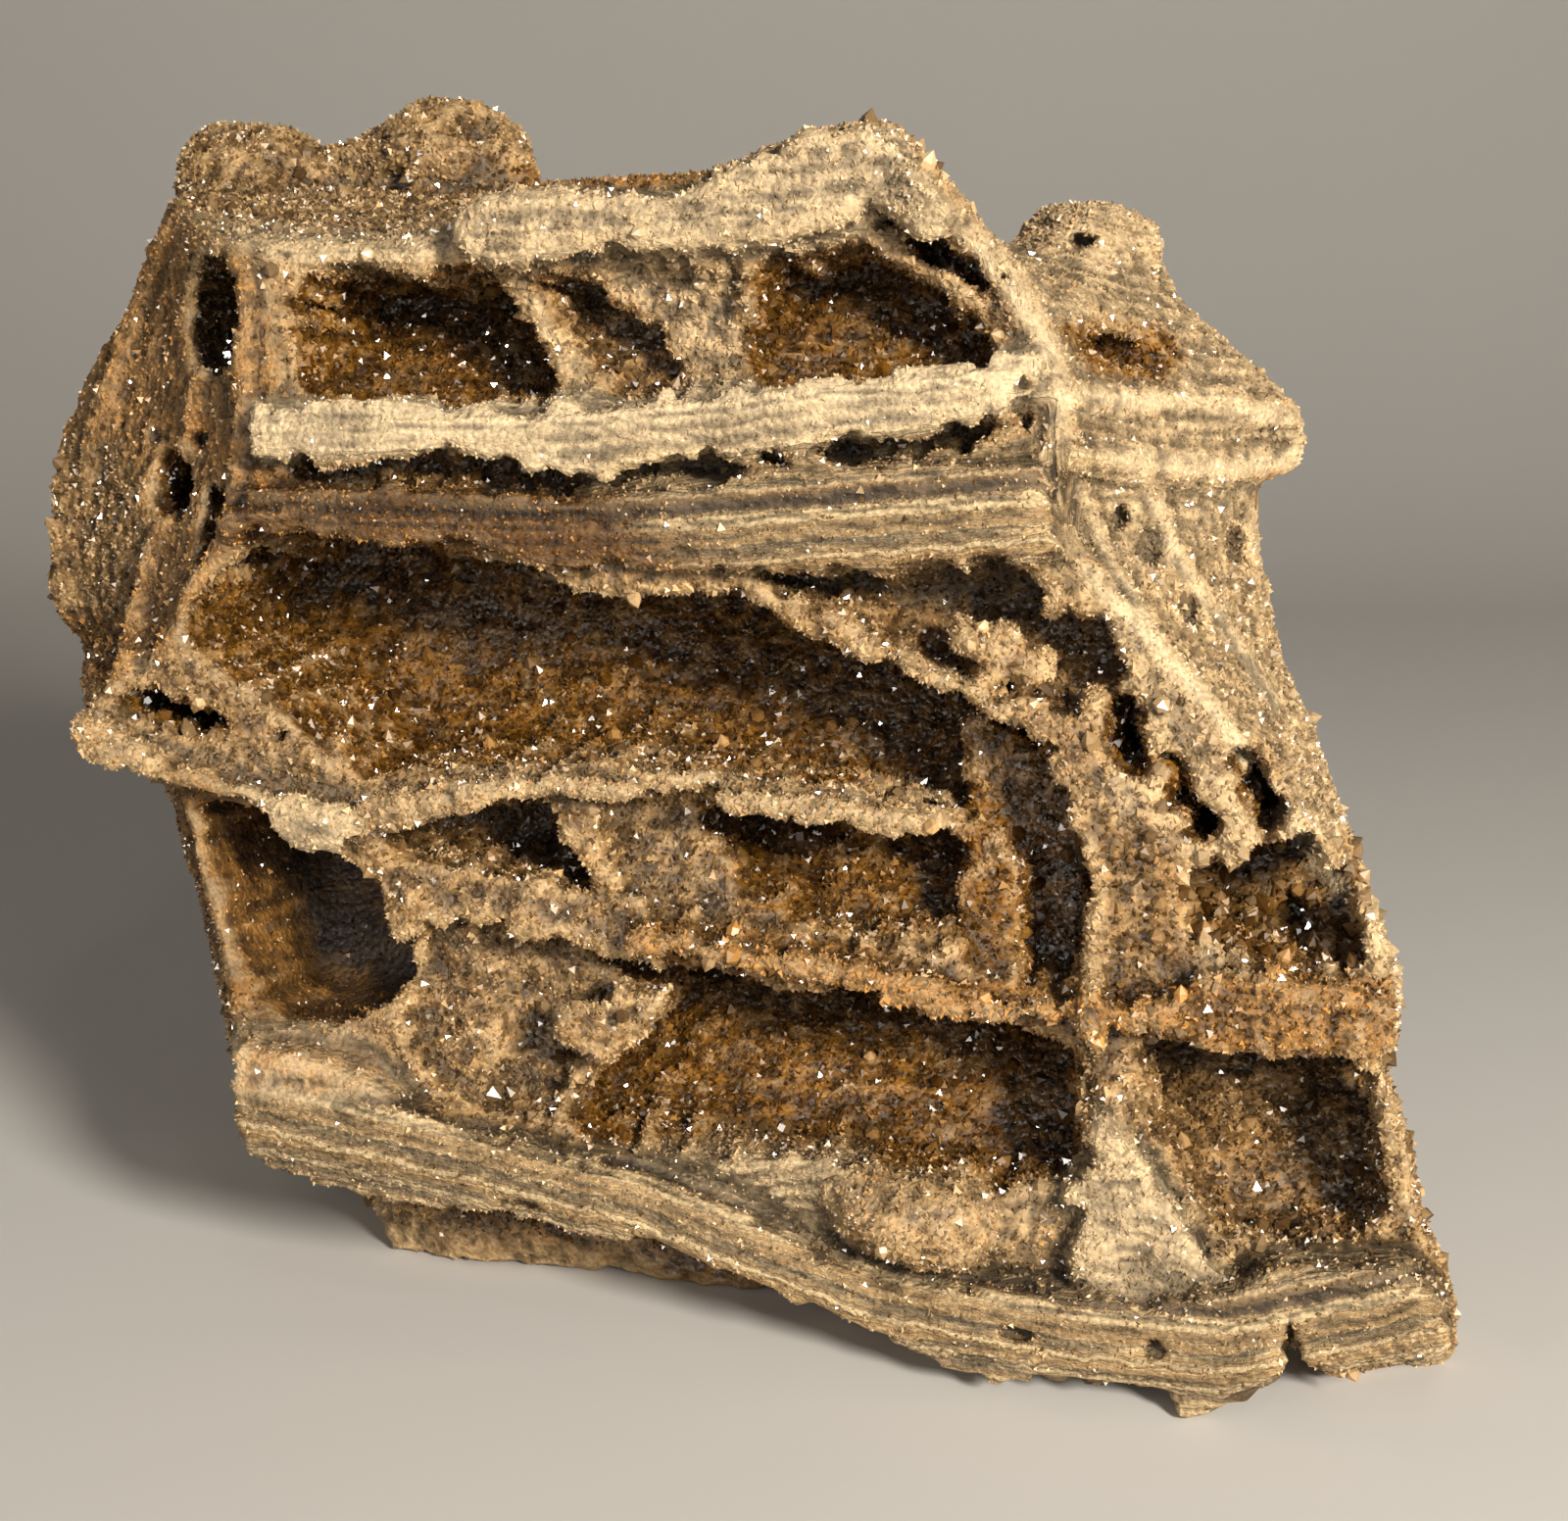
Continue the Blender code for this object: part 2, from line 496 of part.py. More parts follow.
def build_lump(name, centre, radii, collection):
    """A rounded mound or hollow as a stretched icosphere."""
    bm = bmesh.new()
    bmesh.ops.create_icosphere(bm, subdivisions=2, radius=MM)
    bm.transform(Matrix.Translation(centre) @ Matrix.Diagonal((*radii, 1.0)))
    return add_object(name, bm, collection)


def build_ground(collection):
    """The block of space below the surface that the piece stands on."""
    bm = bmesh.new()
    bmesh.ops.create_cube(bm, size=MM)
    below = Matrix.Translation((0.0, 0.0, -GROUND_SIZE[2] / 2 * MM))
    bm.transform(below @ Matrix.Diagonal((*GROUND_SIZE, 1.0)))
    return add_object("Ground", bm, collection)


def boolean(obj, name, operation, collection):
    modifier = obj.modifiers.new(name, "BOOLEAN")
    modifier.operation = operation
    modifier.operand_type = "COLLECTION"
    modifier.collection = collection
    modifier.solver = "EXACT"
    modifier.use_self = True


def evaluated_bmesh(obj):
    bpy.context.view_layer.update()
    bm = bmesh.new()
    bm.from_object(obj, bpy.context.evaluated_depsgraph_get())
    return bm


def groups(items, neighbours):
    """Split vertices or faces into connected groups, the largest last."""
    left = dict.fromkeys(sorted(items, key=lambda item: item.index))
    found = []
    while left:
        first, _ = left.popitem()
        group = {first}
        rim = [first]
        while rim:
            for other in neighbours(rim.pop()):
                if other in left:
                    del left[other]
                    group.add(other)
                    rim.append(other)
        found.append(group)
    return sorted(found, key=len)


def verts_beside(vert):
    return [edge.other_vert(vert) for edge in vert.link_edges]


def faces_beside(face):
    return [other for edge in face.edges for other in edge.link_faces]


def bake(obj):
    """Apply an object's modifiers and keep only its largest connected piece."""
    bm = evaluated_bmesh(obj)
    crumbs = groups(bm.verts, verts_beside)[:-1]
    bmesh.ops.delete(bm, geom=[vert for crumb in crumbs for vert in crumb], context="VERTS")
    obj.modifiers.clear()
    bm.to_mesh(obj.data)
    bm.free()


def surface_of(obj):
    """A search tree over an object's surface as its modifiers leave it."""
    bm = evaluated_bmesh(obj)
    tree = BVHTree.FromBMesh(bm)
    bm.free()
    return tree


def roughen(obj, name, grain, relief):
    texture = bpy.data.textures.new(name, "CLOUDS")
    texture.noise_scale = grain * MM
    texture.noise_depth = 2
    modifier = obj.modifiers.new(name, "DISPLACE")
    modifier.texture = texture
    modifier.texture_coords = "LOCAL"
    modifier.strength = relief * MM
    modifier.mid_level = 0.5


def remesh(obj, name, voxel):
    modifier = obj.modifiers.new(name, "REMESH")
    modifier.mode = "VOXEL"
    modifier.voxel_size = voxel * MM
    modifier.adaptivity = 0.0


def build_envelope(parts, forms):
    """The block without its cells: the front, the body behind it, and the flanks cut away."""
    front = seen_loft("petrified_wood", [
        (FRONT_OUTLINE, 0.0), (FRONT_OUTLINE, FRONT_BODY_END),
    ], parts)
    front.hide_render = False
    front.display_type = "TEXTURED"
    joined = new_collection("Body behind the face", forms)
    seen_loft("Body", [
        (shrunk(REAR_OUTLINE, BACK_CENTRE, width, height), depth)
        for depth, width, height in BACK_SECTIONS
    ], joined)
    flanks = new_collection("Flanks", forms)
    seen_loft("Right flank", [
        (RIGHT_FLANK_FRONT, IN_FRONT), (RIGHT_FLANK_FRONT, FLANKS_START), (RIGHT_FLANK_BACK, FLANKS_END),
    ], flanks)
    seen_loft("Left flank", [
        (LEFT_FLANK_FRONT, IN_FRONT), (LEFT_FLANK_FRONT, FLANKS_START), (LEFT_FLANK_BACK, LEFT_FLANK_END),
    ], flanks)
    seen_loft("Crown shelf", [
        (CROWN_FRONT, IN_FRONT), (CROWN_FRONT, FLANKS_START), (CROWN_BACK, CROWN_SHELF_END),
    ], flanks)
    boolean(front, "Join the body", "UNION", joined)
    boolean(front, "Cut the flanks", "DIFFERENCE", flanks)
    return front


def build_block(parts, forms):
    """The whole block as one solid: ledges and ribs joined on, cells cut, surface roughened."""
    block = build_envelope(parts, forms)
    proud = new_collection("Ledges and mounds", forms)
    for form in PROUD:
        straight_loft(form, proud)
    for mound in OUTER_MOUNDS:
        build_lump(mound.name, at_home(place(*mound.place)), mound.radii, proud)
    boolean(block, "Join the ledges", "UNION", proud)
    surface = surface_of(block)
    ribs = new_collection("Ribs and veins", forms)
    for rib in RIBS:
        build_rib(rib, surface, ribs)
    boolean(block, "Join the ribs", "UNION", ribs)
    cells = new_collection("Cells", forms)
    for cell in CELLS:
        straight_loft(cell, cells)
    for hollow in HOLLOWS:
        build_lump(hollow.name, at_home(from_foot(*hollow.place)), hollow.radii, cells)
    boolean(block, "Open the cells", "DIFFERENCE", cells)
    plates = new_collection("Plates and struts", forms)
    for plate in PLATES:
        straight_loft(plate, plates)
    for mound in INNER_MOUNDS:
        build_lump(mound.name, at_home(place(*mound.place)), mound.radii, plates)
    boolean(block, "Join the plates", "UNION", plates)
    remesh(block, "Even skin", VOXEL)
    bake(block)
    roughen(block, "Coarse relief", COARSE_GRAIN, COARSE_RELIEF)
    roughen(block, "Fine relief", FINE_GRAIN, FINE_RELIEF)
    remesh(block, "Closed skin", VOXEL)
    bake(block)
    facets = block.modifiers.new("Facets", "DECIMATE")
    facets.use_collapse_triangulate = True
    facets.ratio = BLOCK_FACETS / (2 * len(block.data.polygons))
    ground = new_collection("Ground under the feet", forms)
    build_ground(ground)
    boolean(block, "Stand on the ground", "DIFFERENCE", ground)
    bake(block)
    return block


def lines_cell(face, cell, start):
    """Whether a face of the block is part of a cell's wall, floor or end, and looks into the cell."""
    centre = face.calc_center_median() / MM + FOOTPRINT_CENTRE
    depth = INTO_FACE.dot(centre - FRONT_FOOT)
    if not start < depth < cell.far + END_RELIEF:
        return False
    at_mouth = centre - INTO_FACE * (depth - max(cell.near, 0.0))
    x, y, _ = drawn(at_mouth)
    middle = (sum(x for x, _ in cell.outline) / len(cell.outline),
              sum(y for _, y in cell.outline) / len(cell.outline))
    if not inside(x, y, shrunk(cell.outline, middle, *CRUST_REACH)):
        return False
    axis = place(*middle, max(cell.near, 0.0)) + INTO_FACE * (depth - LOOK_AHEAD)
    return face.normal.dot(axis - centre) > 0.0


def one_sheet(chosen):
    """The largest sheet of the chosen faces, with no two parts of it meeting at a lone corner."""
    while True:
        chosen = groups(chosen, faces_beside)[-1]
        lone = set()
        for vert in {vert for face in chosen for vert in face.verts}:
            for fan in groups(chosen.intersection(vert.link_faces), faces_beside)[:-1]:
                lone |= fan
        if not lone:
            return chosen
        chosen = chosen - lone


def outward_at(vert, chosen):
    return sum((face.normal for face in vert.link_faces if face in chosen), Vector()).normalized()


def stands_clear(point, outward, surface):
    """Whether a crust that starts over this point keeps off the stone, with room for its crystals."""
    for height in (CRUST_GAP, CRUST_GAP + CRUST_DEPTH):
        raised = point + outward * height * MM
        nearest, normal, _, distance = surface.find_nearest(raised)
        if distance < LEAST_CLEARANCE * height * MM or (raised - nearest).dot(normal) < 0.0:
            return False
    _, _, _, room = surface.ray_cast(point + outward * CRUST_GAP * MM, outward)
    return room is None or room > LEAST_ROOM * MM


def sheet_for_crust(cells, start, stone, surface):
    """The faces of the stone that a crust covers: one sheet that stands clear everywhere."""
    chosen = one_sheet({
        face for face in stone.faces if any(lines_cell(face, cell, start) for cell in cells)
    })
    while True:
        outward = {vert: outward_at(vert, chosen) for face in chosen for vert in face.verts}
        clear = {vert: stands_clear(vert.co, outward[vert], surface) for vert in outward}
        kept = {face for face in chosen if all(clear[vert] for vert in face.verts)
                and stands_clear(face.calc_center_median(), face.normal, surface)}
        if len(kept) == len(chosen):
            return chosen, outward
        chosen = one_sheet(kept)


def build_crust(name, cells, start, block, rng, collection):
    """The crystals of one hollow: a sheet that follows its walls, with points on most of its facets."""
    stone = bmesh.new()
    stone.from_mesh(block.data)
    stone.normal_update()
    chosen, outward = sheet_for_crust(cells, start, stone, BVHTree.FromBMesh(stone))
    crust = bmesh.new()
    under, over = {}, {}
    for vert in sorted(outward, key=lambda v: v.index):
        under[vert] = crust.verts.new(vert.co + outward[vert] * CRUST_GAP * MM)
        over[vert] = crust.verts.new(vert.co + outward[vert] * (CRUST_GAP + CRUST_DEPTH) * MM)
    crystals = []
    for face in sorted(chosen, key=lambda f: f.index):
        crust.faces.new([under[vert] for vert in reversed(face.verts)])
        crystals.append(crust.faces.new([over[vert] for vert in face.verts]))
        for loop in face.loops:
            if sum(other in chosen for other in loop.edge.link_faces) == 1:
                first, second = loop.vert, loop.link_loop_next.vert
                crust.faces.new((under[first], under[second], over[second], over[first]))
    bmesh.ops.triangulate(crust, faces=crust.faces[:])
    crust.normal_update()
    for face in [face for face in crystals if rng.random() < CRYSTAL_SHARE]:
        bmesh.ops.poke(crust, faces=[face], offset=rng.uniform(*CRYSTAL_HEIGHTS) * MM)
    stone.free()
    return add_object(name, crust, collection, helper=False)


def build_material(name, colour, roughness):
    material = bpy.data.materials.new(name)
    material.use_nodes = True
    shader = material.node_tree.nodes["Principled BSDF"]
    shader.inputs["Base Color"].default_value = (*colour, 1.0)
    shader.inputs["Roughness"].default_value = roughness
    shader.inputs["Metallic"].default_value = 0.0
    material.diffuse_color = (*colour, 1.0)
    return material


def main():
    for obj in list(bpy.data.objects):
        bpy.data.objects.remove(obj)
    scene = bpy.context.scene.collection
    parts = new_collection("Petrified wood", scene)
    forms = new_collection("Cutters and joined forms", scene)
    forms.hide_render = True
    stone = build_material("Silicified wood", (0.33, 0.24, 0.16), 0.75)
    block = build_block(parts, forms)
    block.data.materials.append(stone)
    druse = build_material("Quartz druse", (0.30, 0.20, 0.12), 0.35)
    rng = random.Random(SEED)
    by_name = {cell.name: cell for cell in CELLS}
    for name, cell_names, start in CRUSTS:
        crust = build_crust(name, [by_name[cell] for cell in cell_names], start, block, rng, parts)
        crust.data.materials.append(druse)


main()
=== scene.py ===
"""Petrified wood: the finished surface of a standing block whose decayed cells are lined with druse.

Sizes here are millimetres where a name or comment doesn't say otherwise; meshes are made in metres.
The block is a field of signed distances in the frame of its face: along the face, behind it and up
it. Its forms are the ones of the model, drawn on a picture plane from one station point.
"""

import math
from collections import namedtuple

import bmesh
import bpy
import numpy as np
import openvdb
from bpy.props import FloatProperty, FloatVectorProperty, IntProperty, PointerProperty
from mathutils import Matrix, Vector


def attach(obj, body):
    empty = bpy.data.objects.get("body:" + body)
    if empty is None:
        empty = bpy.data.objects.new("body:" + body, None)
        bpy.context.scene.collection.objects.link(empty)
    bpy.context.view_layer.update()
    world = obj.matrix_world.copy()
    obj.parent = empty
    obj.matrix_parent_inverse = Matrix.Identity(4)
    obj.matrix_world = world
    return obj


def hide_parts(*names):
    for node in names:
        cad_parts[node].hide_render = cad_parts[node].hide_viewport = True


bl_info = {
    "name": "Petrified Wood",
    "version": (1, 0, 0),
    "blender": (4, 5, 0),
    "location": "3D View > Sidebar > Petrified Wood",
    "description": "Builds a block of petrified wood with hollows lined by quartz druse",
    "category": "Add Mesh",
}

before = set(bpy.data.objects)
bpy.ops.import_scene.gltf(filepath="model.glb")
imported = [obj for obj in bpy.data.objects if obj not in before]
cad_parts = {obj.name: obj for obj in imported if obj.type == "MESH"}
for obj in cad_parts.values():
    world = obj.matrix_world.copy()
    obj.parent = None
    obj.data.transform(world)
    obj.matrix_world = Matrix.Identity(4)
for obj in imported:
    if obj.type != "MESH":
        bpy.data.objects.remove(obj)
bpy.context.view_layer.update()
MM = 0.001
SEED = 20

# The station point, its picture plane, and the plane of the face.
EYE = np.array((0.0, -237.0, 115.0))
PICTURE_DISTANCE = 258.4
PICTURE_CENTRE = (80.0, 77.6)
EYE_PITCH = math.radians(11.8)
FACE_TURN = math.radians(12.0)
FACE_LEAN = math.radians(4.0)
FRONT_FOOT = np.array((42.0, 0.0, 0.0))
FOOTPRINT_CENTRE = np.array((-7.8, 36.7, 0.0))
INTO = np.array((
    math.sin(FACE_TURN) * math.cos(FACE_LEAN), math.cos(FACE_TURN) * math.cos(FACE_LEAN),
    -math.sin(FACE_LEAN),
))
ALONG = np.array((math.cos(FACE_TURN), -math.sin(FACE_TURN), 0.0))
UPWARD = np.cross(ALONG, INTO)
# How much each of the three directions rises.
RISES = np.array((ALONG[2], INTO[2], UPWARD[2]))

# The block of space that the field covers: along the face, behind it, up it.
FIELD_LOW = (-134.0, -12.0, -5.0)
FIELD_HIGH = (38.0, 60.0, 137.0)

# A place's look: shares of pale silica, bands, brown, iron and crystals, and how large the crystals are.
Look = namedtuple("Look", "cream banded brown iron druse coarse")
SUGARY = Look(0.05, 0.0, 0.54, 0.13, 1.0, 1.0)
BROWN = Look(0.0, 0.0, 1.0, 0.1, 1.0, 1.0)
SOFT_BROWN = Look(0.03, 0.0, 0.74, 0.12, 1.0, 1.0)
CREAM = Look(0.85, 0.7, 0.0, 0.08, 0.16, 0.7)
BANDED = Look(0.05, 1.0, 0.15, 0.12, 0.2, 0.7)
BROWN_BANDED = Look(0.0, 0.85, 0.95, 0.36, 0.35, 0.7)
VEIN = Look(0.8, 0.3, 0.0, 0.1, 0.25, 0.7)
PALE_RIM = Look(0.6, 0.5, 0.15, 0.1, 0.5, 0.85)
PALE_BANDED = Look(0.35, 0.9, 0.1, 0.15, 0.3, 0.7)
PALE_SUGARY = Look(0.26, 0.0, 0.17, 0.09, 1.0, 1.0)
SMOKY = Look(0.0, 0.0, 0.7, 0.08, 1.0, 1.2)
GOLDEN = Look(0.2, 0.1, 0.42, 0.38, 0.95, 0.9)
RUSTY = Look(0.02, 0.1, 0.85, 0.58, 0.9, 0.95)
SMOOTH_WALL = Look(0.0, 0.3, 0.9, 0.42, 0.14, 0.7)
LARGE_DARK = Look(0.0, 0.0, 0.85, 0.05, 1.0, 1.4)
SHOULDER = Look(0.4, 0.5, 0.2, 0.3, 0.6, 0.8)
FLANK = Look(0.03, 0.35, 0.22, 0.66, 0.35, 0.8)
OCHRE = Look(0.75, 0.1, 0.0, 0.62, 0.12, 0.8)
CROWN_LOOK = Look(0.05, 0.0, 0.5, 0.2, 1.0, 1.0)

Form = namedtuple("Form", "name outline near far taper look ragged rise", defaults=(0.85, BROWN, 0.7, 0.0))
Rib = namedtuple("Rib", "name route radius look", defaults=(None,))
Lump = namedtuple("Lump", "name place radii")
Patch = namedtuple("Patch", "name outline near far edge look")
Pit = namedtuple("Pit", "place radii")

# The bare block: where its front body ends, where its flanks start, and how softly its parts join.
FRONT_BODY_END = 22.0
FLANKS_START = 0.7
BODY_BLEND = 2.0
BACK_ROUND = 6.0
FLOOR_CLEARANCE = 0.5

# How forms meet: the rounding of their edges and how softly they join.
MARGIN = 5.0
EDGE_STEP = 1.5
CORNER_CUT = 0.2
CELL_END_ROUND = 3.5
LEDGE_END_ROUND = 1.5
LEDGE_FRONT_ROUND = 1.0
CELL_BLEND = 0.9
CELL_GROWTH = 0.6
LEDGE_BLEND = 1.4
OUTER_MOUND_BLEND = 2.5
INNER_MOUND_BLEND = 2.0
HOLLOW_BLEND = 1.2
PIT_BLEND = 0.4
BALL_MARGIN = 4.0
RIB_BLEND = 1.2
RIB_MARGIN = 2.5
RIB_STEP = 2.5
RIB_GAP = 12.0
# Each form draws its broken edge from a seed of its own, counted up from these.
LEDGE_SEEDS = 0
CELL_SEEDS = 100
PLATE_SEEDS = 200
# Between which depths a line of sight is followed to the surface.
SIGHT_START = -9.0
SIGHT_END = 56.0
# Distances beyond this aren't needed to find the surface.
FIELD_LIMIT = 3.0

# How surfaces wander: noise as pairs of a lump's size and its height, and shares of it by kind of form.
WANDER = ((9.0, 0.8), (3.4, 0.4))
SWELL = ((15.0, 0.8), (6.0, 0.45))
LEDGE_WANDER = 0.5
MOUND_WANDER = 1.2
HOLLOW_WANDER = 2.6
PIT_WANDER = 0.3
END_WANDER = 0.8
FRONT_WANDER = 0.7

# The relief that is raised on the skin, by what a place is covered with.
RELIEF_GRAINS = (5.0, 2.7, 1.3, 0.8)
BAND_RELIEF = 0.42
CRUMB_RELIEF = 0.62
RUST_RELIEF = 0.5
GRAIN_RELIEF = 0.12

# Rims and depths are told by the share of stone within a reach: where each starts and is full. Rims get a
# painted highlight; deep places get painted shade and partly the hollows' own brown.
EDGE_REACH = 2.0
EDGE_SHARES = (0.42, 0.22)
DEEP_REACH = 9.0
DEEP_SHARES = (0.55, 0.8)
# How far deep places take the brown look: partly the hollows' own brown, partly painted shade.
DEEP_BROWN_AND_SHADE = 0.8
# Two blurs with a cube this much smaller spread as far as a ball.
BLUR_SHARE = 1.6
# How far outside and inside its outline a form's look fades in.
FADE_START = 1.6
FADE_END = 0.2
# How deep a full crease is, and how much of it comes from the points beside it. Creases get painted shade
# and crests a painted highlight.
CREASE_DEPTH = 0.16
CREASE_SPREAD = 0.4

# The raster on which the drawn outlines' distances are kept.
MAP_LOW = (-12.0, -6.0)
MAP_HIGH = (172.0, 168.0)
MAP_STEP = 0.5

# Crystals: how far they lean, their limits of radius in metres, and the radius from which they are prisms.
LEAN = 0.34
SMALLEST_CRYSTAL = 0.0002
LARGEST_CRYSTAL = 0.0012
PRISM_RADIUS = 0.0007
# Two kinds of crystal: how many sides, the limits of height for a radius of one, how deep it is sunk,
# how high its shoulder is for a height of one, and how far its point stands above that height.
CrystalKind = namedtuple("CrystalKind", "sides low high sunk shoulder point")
POINTS = CrystalKind(3, 0.6, 1.3, 0.35, None, 0.0)
PRISMS = CrystalKind(6, 0.7, 1.5, 0.5, 0.45, 0.5)
# Crystals thin out towards the back, where they are large and, by heights in metres, towards the floor.
BACK_START = 24.0
BACK_FULL = 38.0
BACK_THINNING = 0.8
SIZE_THINNING = 1.6
BARE_BELOW = 0.0025
GROWN_ABOVE = 0.006
# How far a crust reaches beyond its hollow's outline, and from where the right flank's crust starts.
CRUST_MARGIN = 2.5
CRUST_START = 0.5
RIGHT_START = 70.0

# The stage, in metres. A lamp has a place, a size and a colour.
SENSOR_WIDTH = 36.0
CLIP_START = 0.01
LIGHT_TARGET = (0.0, 0.0, 0.06)
Lamp = namedtuple("Lamp", "place size colour")
KEY_LAMP = Lamp((0.35, -0.64, 0.31), 0.15, (1.0, 0.94, 0.85))
FILL_LAMP = Lamp((-0.55, -0.5, 0.25), 0.5, (1.0, 0.97, 0.92))
SPARKLE_LAMPS = [Lamp(place, 0.035, (1.0, 0.95, 0.86)) for place in (
    (-0.05, -0.6, 0.42), (0.28, -0.66, 0.16), (-0.34, -0.56, 0.3), (0.1, -0.5, 0.6), (-0.12, -0.7, 0.1),
)]
SKY_COLOUR = (1.0, 0.91, 0.80)
FLOOR_START = -1.6
FLOOR_END = 0.5
FLOOR_SIDE = 2.2
BEND_RADIUS = 0.35
BEND_STEPS = 12
WALL_TOP = 1.8

# Colours that the materials mix, besides those that the settings hold.
SUGAR_COLOUR = (0.54, 0.365, 0.168)
SUGAR_DARK = (0.125, 0.068, 0.023)
BROWN_LIGHT = (0.24, 0.104, 0.011)
GREY_BAND = (0.075, 0.050, 0.031)
BROWN_BAND = (0.20, 0.110, 0.038)
CREAM_COLOUR = (0.63, 0.475, 0.26)
# Colour of the painted highlight on convex rims.
RIM_HIGHLIGHT_COLOUR = (0.58, 0.43, 0.24)
BAND_UMBER = (0.17, 0.09, 0.035)
# Colours of the growth bands, and the positions at which they stand.
BAND_COLOURS = (
    GREY_BAND, BROWN_BAND, CREAM_COLOUR, GREY_BAND, CREAM_COLOUR, BROWN_BAND, SUGAR_COLOUR, GREY_BAND,
    CREAM_COLOUR,
)
BAND_START = 0.34
BAND_SPAN = 0.04
RUST_DARK = (0.12, 0.055, 0.015)
DRUSE_PALE = (0.72, 0.51, 0.27)
DRUSE_BROWN = (0.31, 0.136, 0.014)
# How strongly the surfaces shine, and the heights that the bump has in metres.
STONE_SHINE = 0.12
DRUSE_SHINE = 0.32
QUARTZ_IOR = 1.55
GRAIN_HEIGHT = 0.00026
BAND_HEIGHT = 0.0011
# How many lumps of the sugary grain fit on a metre.
FINE_SCALE = 2400.0
COARSE_SCALE = 330.0
CELL_SCALE = 1300.0

# The materials read deep, edge and crease only for painted shade in hollows and creases and painted
# highlights on rims and crests.
STONE_LOOKS = ("cream", "banded", "brown", "iron", "druse", "coarse", "band_at", "deep", "edge", "crease")
CRYSTAL_LOOKS = ("cream", "brown", "iron", "deep", "edge", "crease", "tint")

CROWN = [
    (16.8, 22.5), (19.5, 16.5), (24.5, 14.2), (30, 15), (35.5, 13), (44, 11.3), (50.5, 12.3),
    (53.5, 15.5), (55.7, 19.6), (64, 18.8), (72, 18.2), (78, 16), (84.5, 13.4), (91, 13),
    (93.5, 16.5), (97.5, 21.5), (102.5, 26.3), (106.5, 25.2), (111.5, 21.2), (116, 22.8),
    (119.5, 27), (122, 31), (126.5, 34.5), (132.5, 40.5), (134.4, 45.6),
]
RIGHT_SIDE = [
    (128.5, 48), (128.7, 53), (130.2, 58), (131.2, 66), (134.5, 74), (137.5, 80), (139.5, 88),
    (142, 100.5), (141.5, 106.5), (140, 108),
]
FRONT_BASE = [
    (143.5, 118), (144, 124), (147.3, 132), (148, 138.5), (144, 138), (136, 140.2), (133, 137),
    (129, 138.5), (121.5, 142.8), (119, 140), (110, 138), (100, 139.2), (90, 134), (83, 132),
    (69, 126), (62, 124), (55, 122.6), (45, 121.2), (36, 120.6), (29, 118.6), (25.5, 116),
]
REAR_BASE = [
    (142, 118), (142, 124), (143, 132), (143, 137), (140, 141), (136, 145), (133, 147),
    (129, 149), (121.5, 152), (119, 152), (110, 150), (100, 147), (90, 142), (83, 138),
    (69, 134), (62, 132), (55, 131), (45, 130.5), (38.5, 126), (34, 119), (25.5, 114),
]
LEFT_SIDE = [
    (24.5, 104), (21.5, 93), (17.5, 78.5), (10, 75), (9.2, 71), (7.5, 62), (5, 52), (6.5, 46),
    (9, 40), (13, 33), (15.8, 28.5),
]
FRONT_OUTLINE = CROWN + RIGHT_SIDE + FRONT_BASE + LEFT_SIDE
REAR_OUTLINE = CROWN + RIGHT_SIDE + REAR_BASE + LEFT_SIDE
BACK_CENTRE = (80.0, 88.0)
# How the rear outline shrinks with depth: a depth, and the shares of its width and its height.
BACK_SECTIONS = [
    (15.0, 0.99, 0.99), (30.0, 0.985, 0.985), (40.0, 0.89, 0.91), (48.0, 0.80, 0.83), (55.0, 0.66, 0.72),
]

RIGHT_FLANK_FRONT = [
    (92, 8), (98, 21), (104, 29), (108, 35), (109, 42), (109, 56), (114, 62), (119, 67), (127, 76),
    (136, 87), (144, 99), (165, 99), (165, 8),
]
RIGHT_FLANK_BACK = [
    (96, 8), (100, 23), (105, 25.6), (112, 22), (121, 30), (133, 41.5), (128.7, 49.5),
    (130.7, 66), (134, 73), (138.5, 86), (142, 99), (165, 99), (165, 8),
]
LEFT_FLANK_FRONT = [
    (-5, 8), (19, 19), (23, 28), (25, 40), (25, 50), (21, 58), (17, 65), (8.5, 71), (5, 76), (-5, 76),
]
LEFT_FLANK_BACK = [
    (-5, 8), (15, 20), (14.5, 30), (9, 40), (5, 50), (5.5, 56), (7.5, 62), (8.5, 68), (5, 76), (-5, 76),
]
CROWN_FRONT = [(8, 2), (58, 2), (56.5, 21), (48, 23.8), (40, 25), (25, 24.6), (17, 23), (8, 22)]
CROWN_BACK = [(8, 2), (57, 2), (56, 19), (48, 19.6), (40, 19), (25, 18.6), (17, 19), (8, 18)]
# A flank's front outline, back outline and the depth where it ends.
FLANKS = [
    (RIGHT_FLANK_FRONT, RIGHT_FLANK_BACK, 30.0), (LEFT_FLANK_FRONT, LEFT_FLANK_BACK, 22.0),
    (CROWN_FRONT, CROWN_BACK, 27.0),
]

UPPER_LEDGE = [
    (26.5, 41.8), (38, 41), (45, 41.5), (55, 40.8), (70, 40), (85, 39.2), (97, 37.5), (106.5, 35.6),
    (107, 39.4), (100, 42.3), (90, 44.3), (80, 45.3), (70, 46.5), (64, 48.5), (60, 49), (53, 46.5),
    (48, 45), (38, 45.8), (27, 46.2),
]
SECOND_LEDGE = [
    (24, 50.5), (35, 50), (50, 50.3), (60, 51), (70, 50), (78, 48.5), (95, 48), (106, 47.5),
    (108, 56.5), (103, 57.5), (90, 57), (72, 58), (58, 57.2), (50, 55.7), (35, 54.5), (24, 54.8),
]
TOP_LEDGE = [
    (47, 22), (52, 20.5), (58, 20), (66, 20.5), (72, 19.5), (75, 17), (84, 14), (91, 13.5),
    (93.5, 17), (97, 22), (96, 24.5), (88, 23), (80, 25), (72, 26), (60, 25.5), (52, 26.5), (48, 25),
]
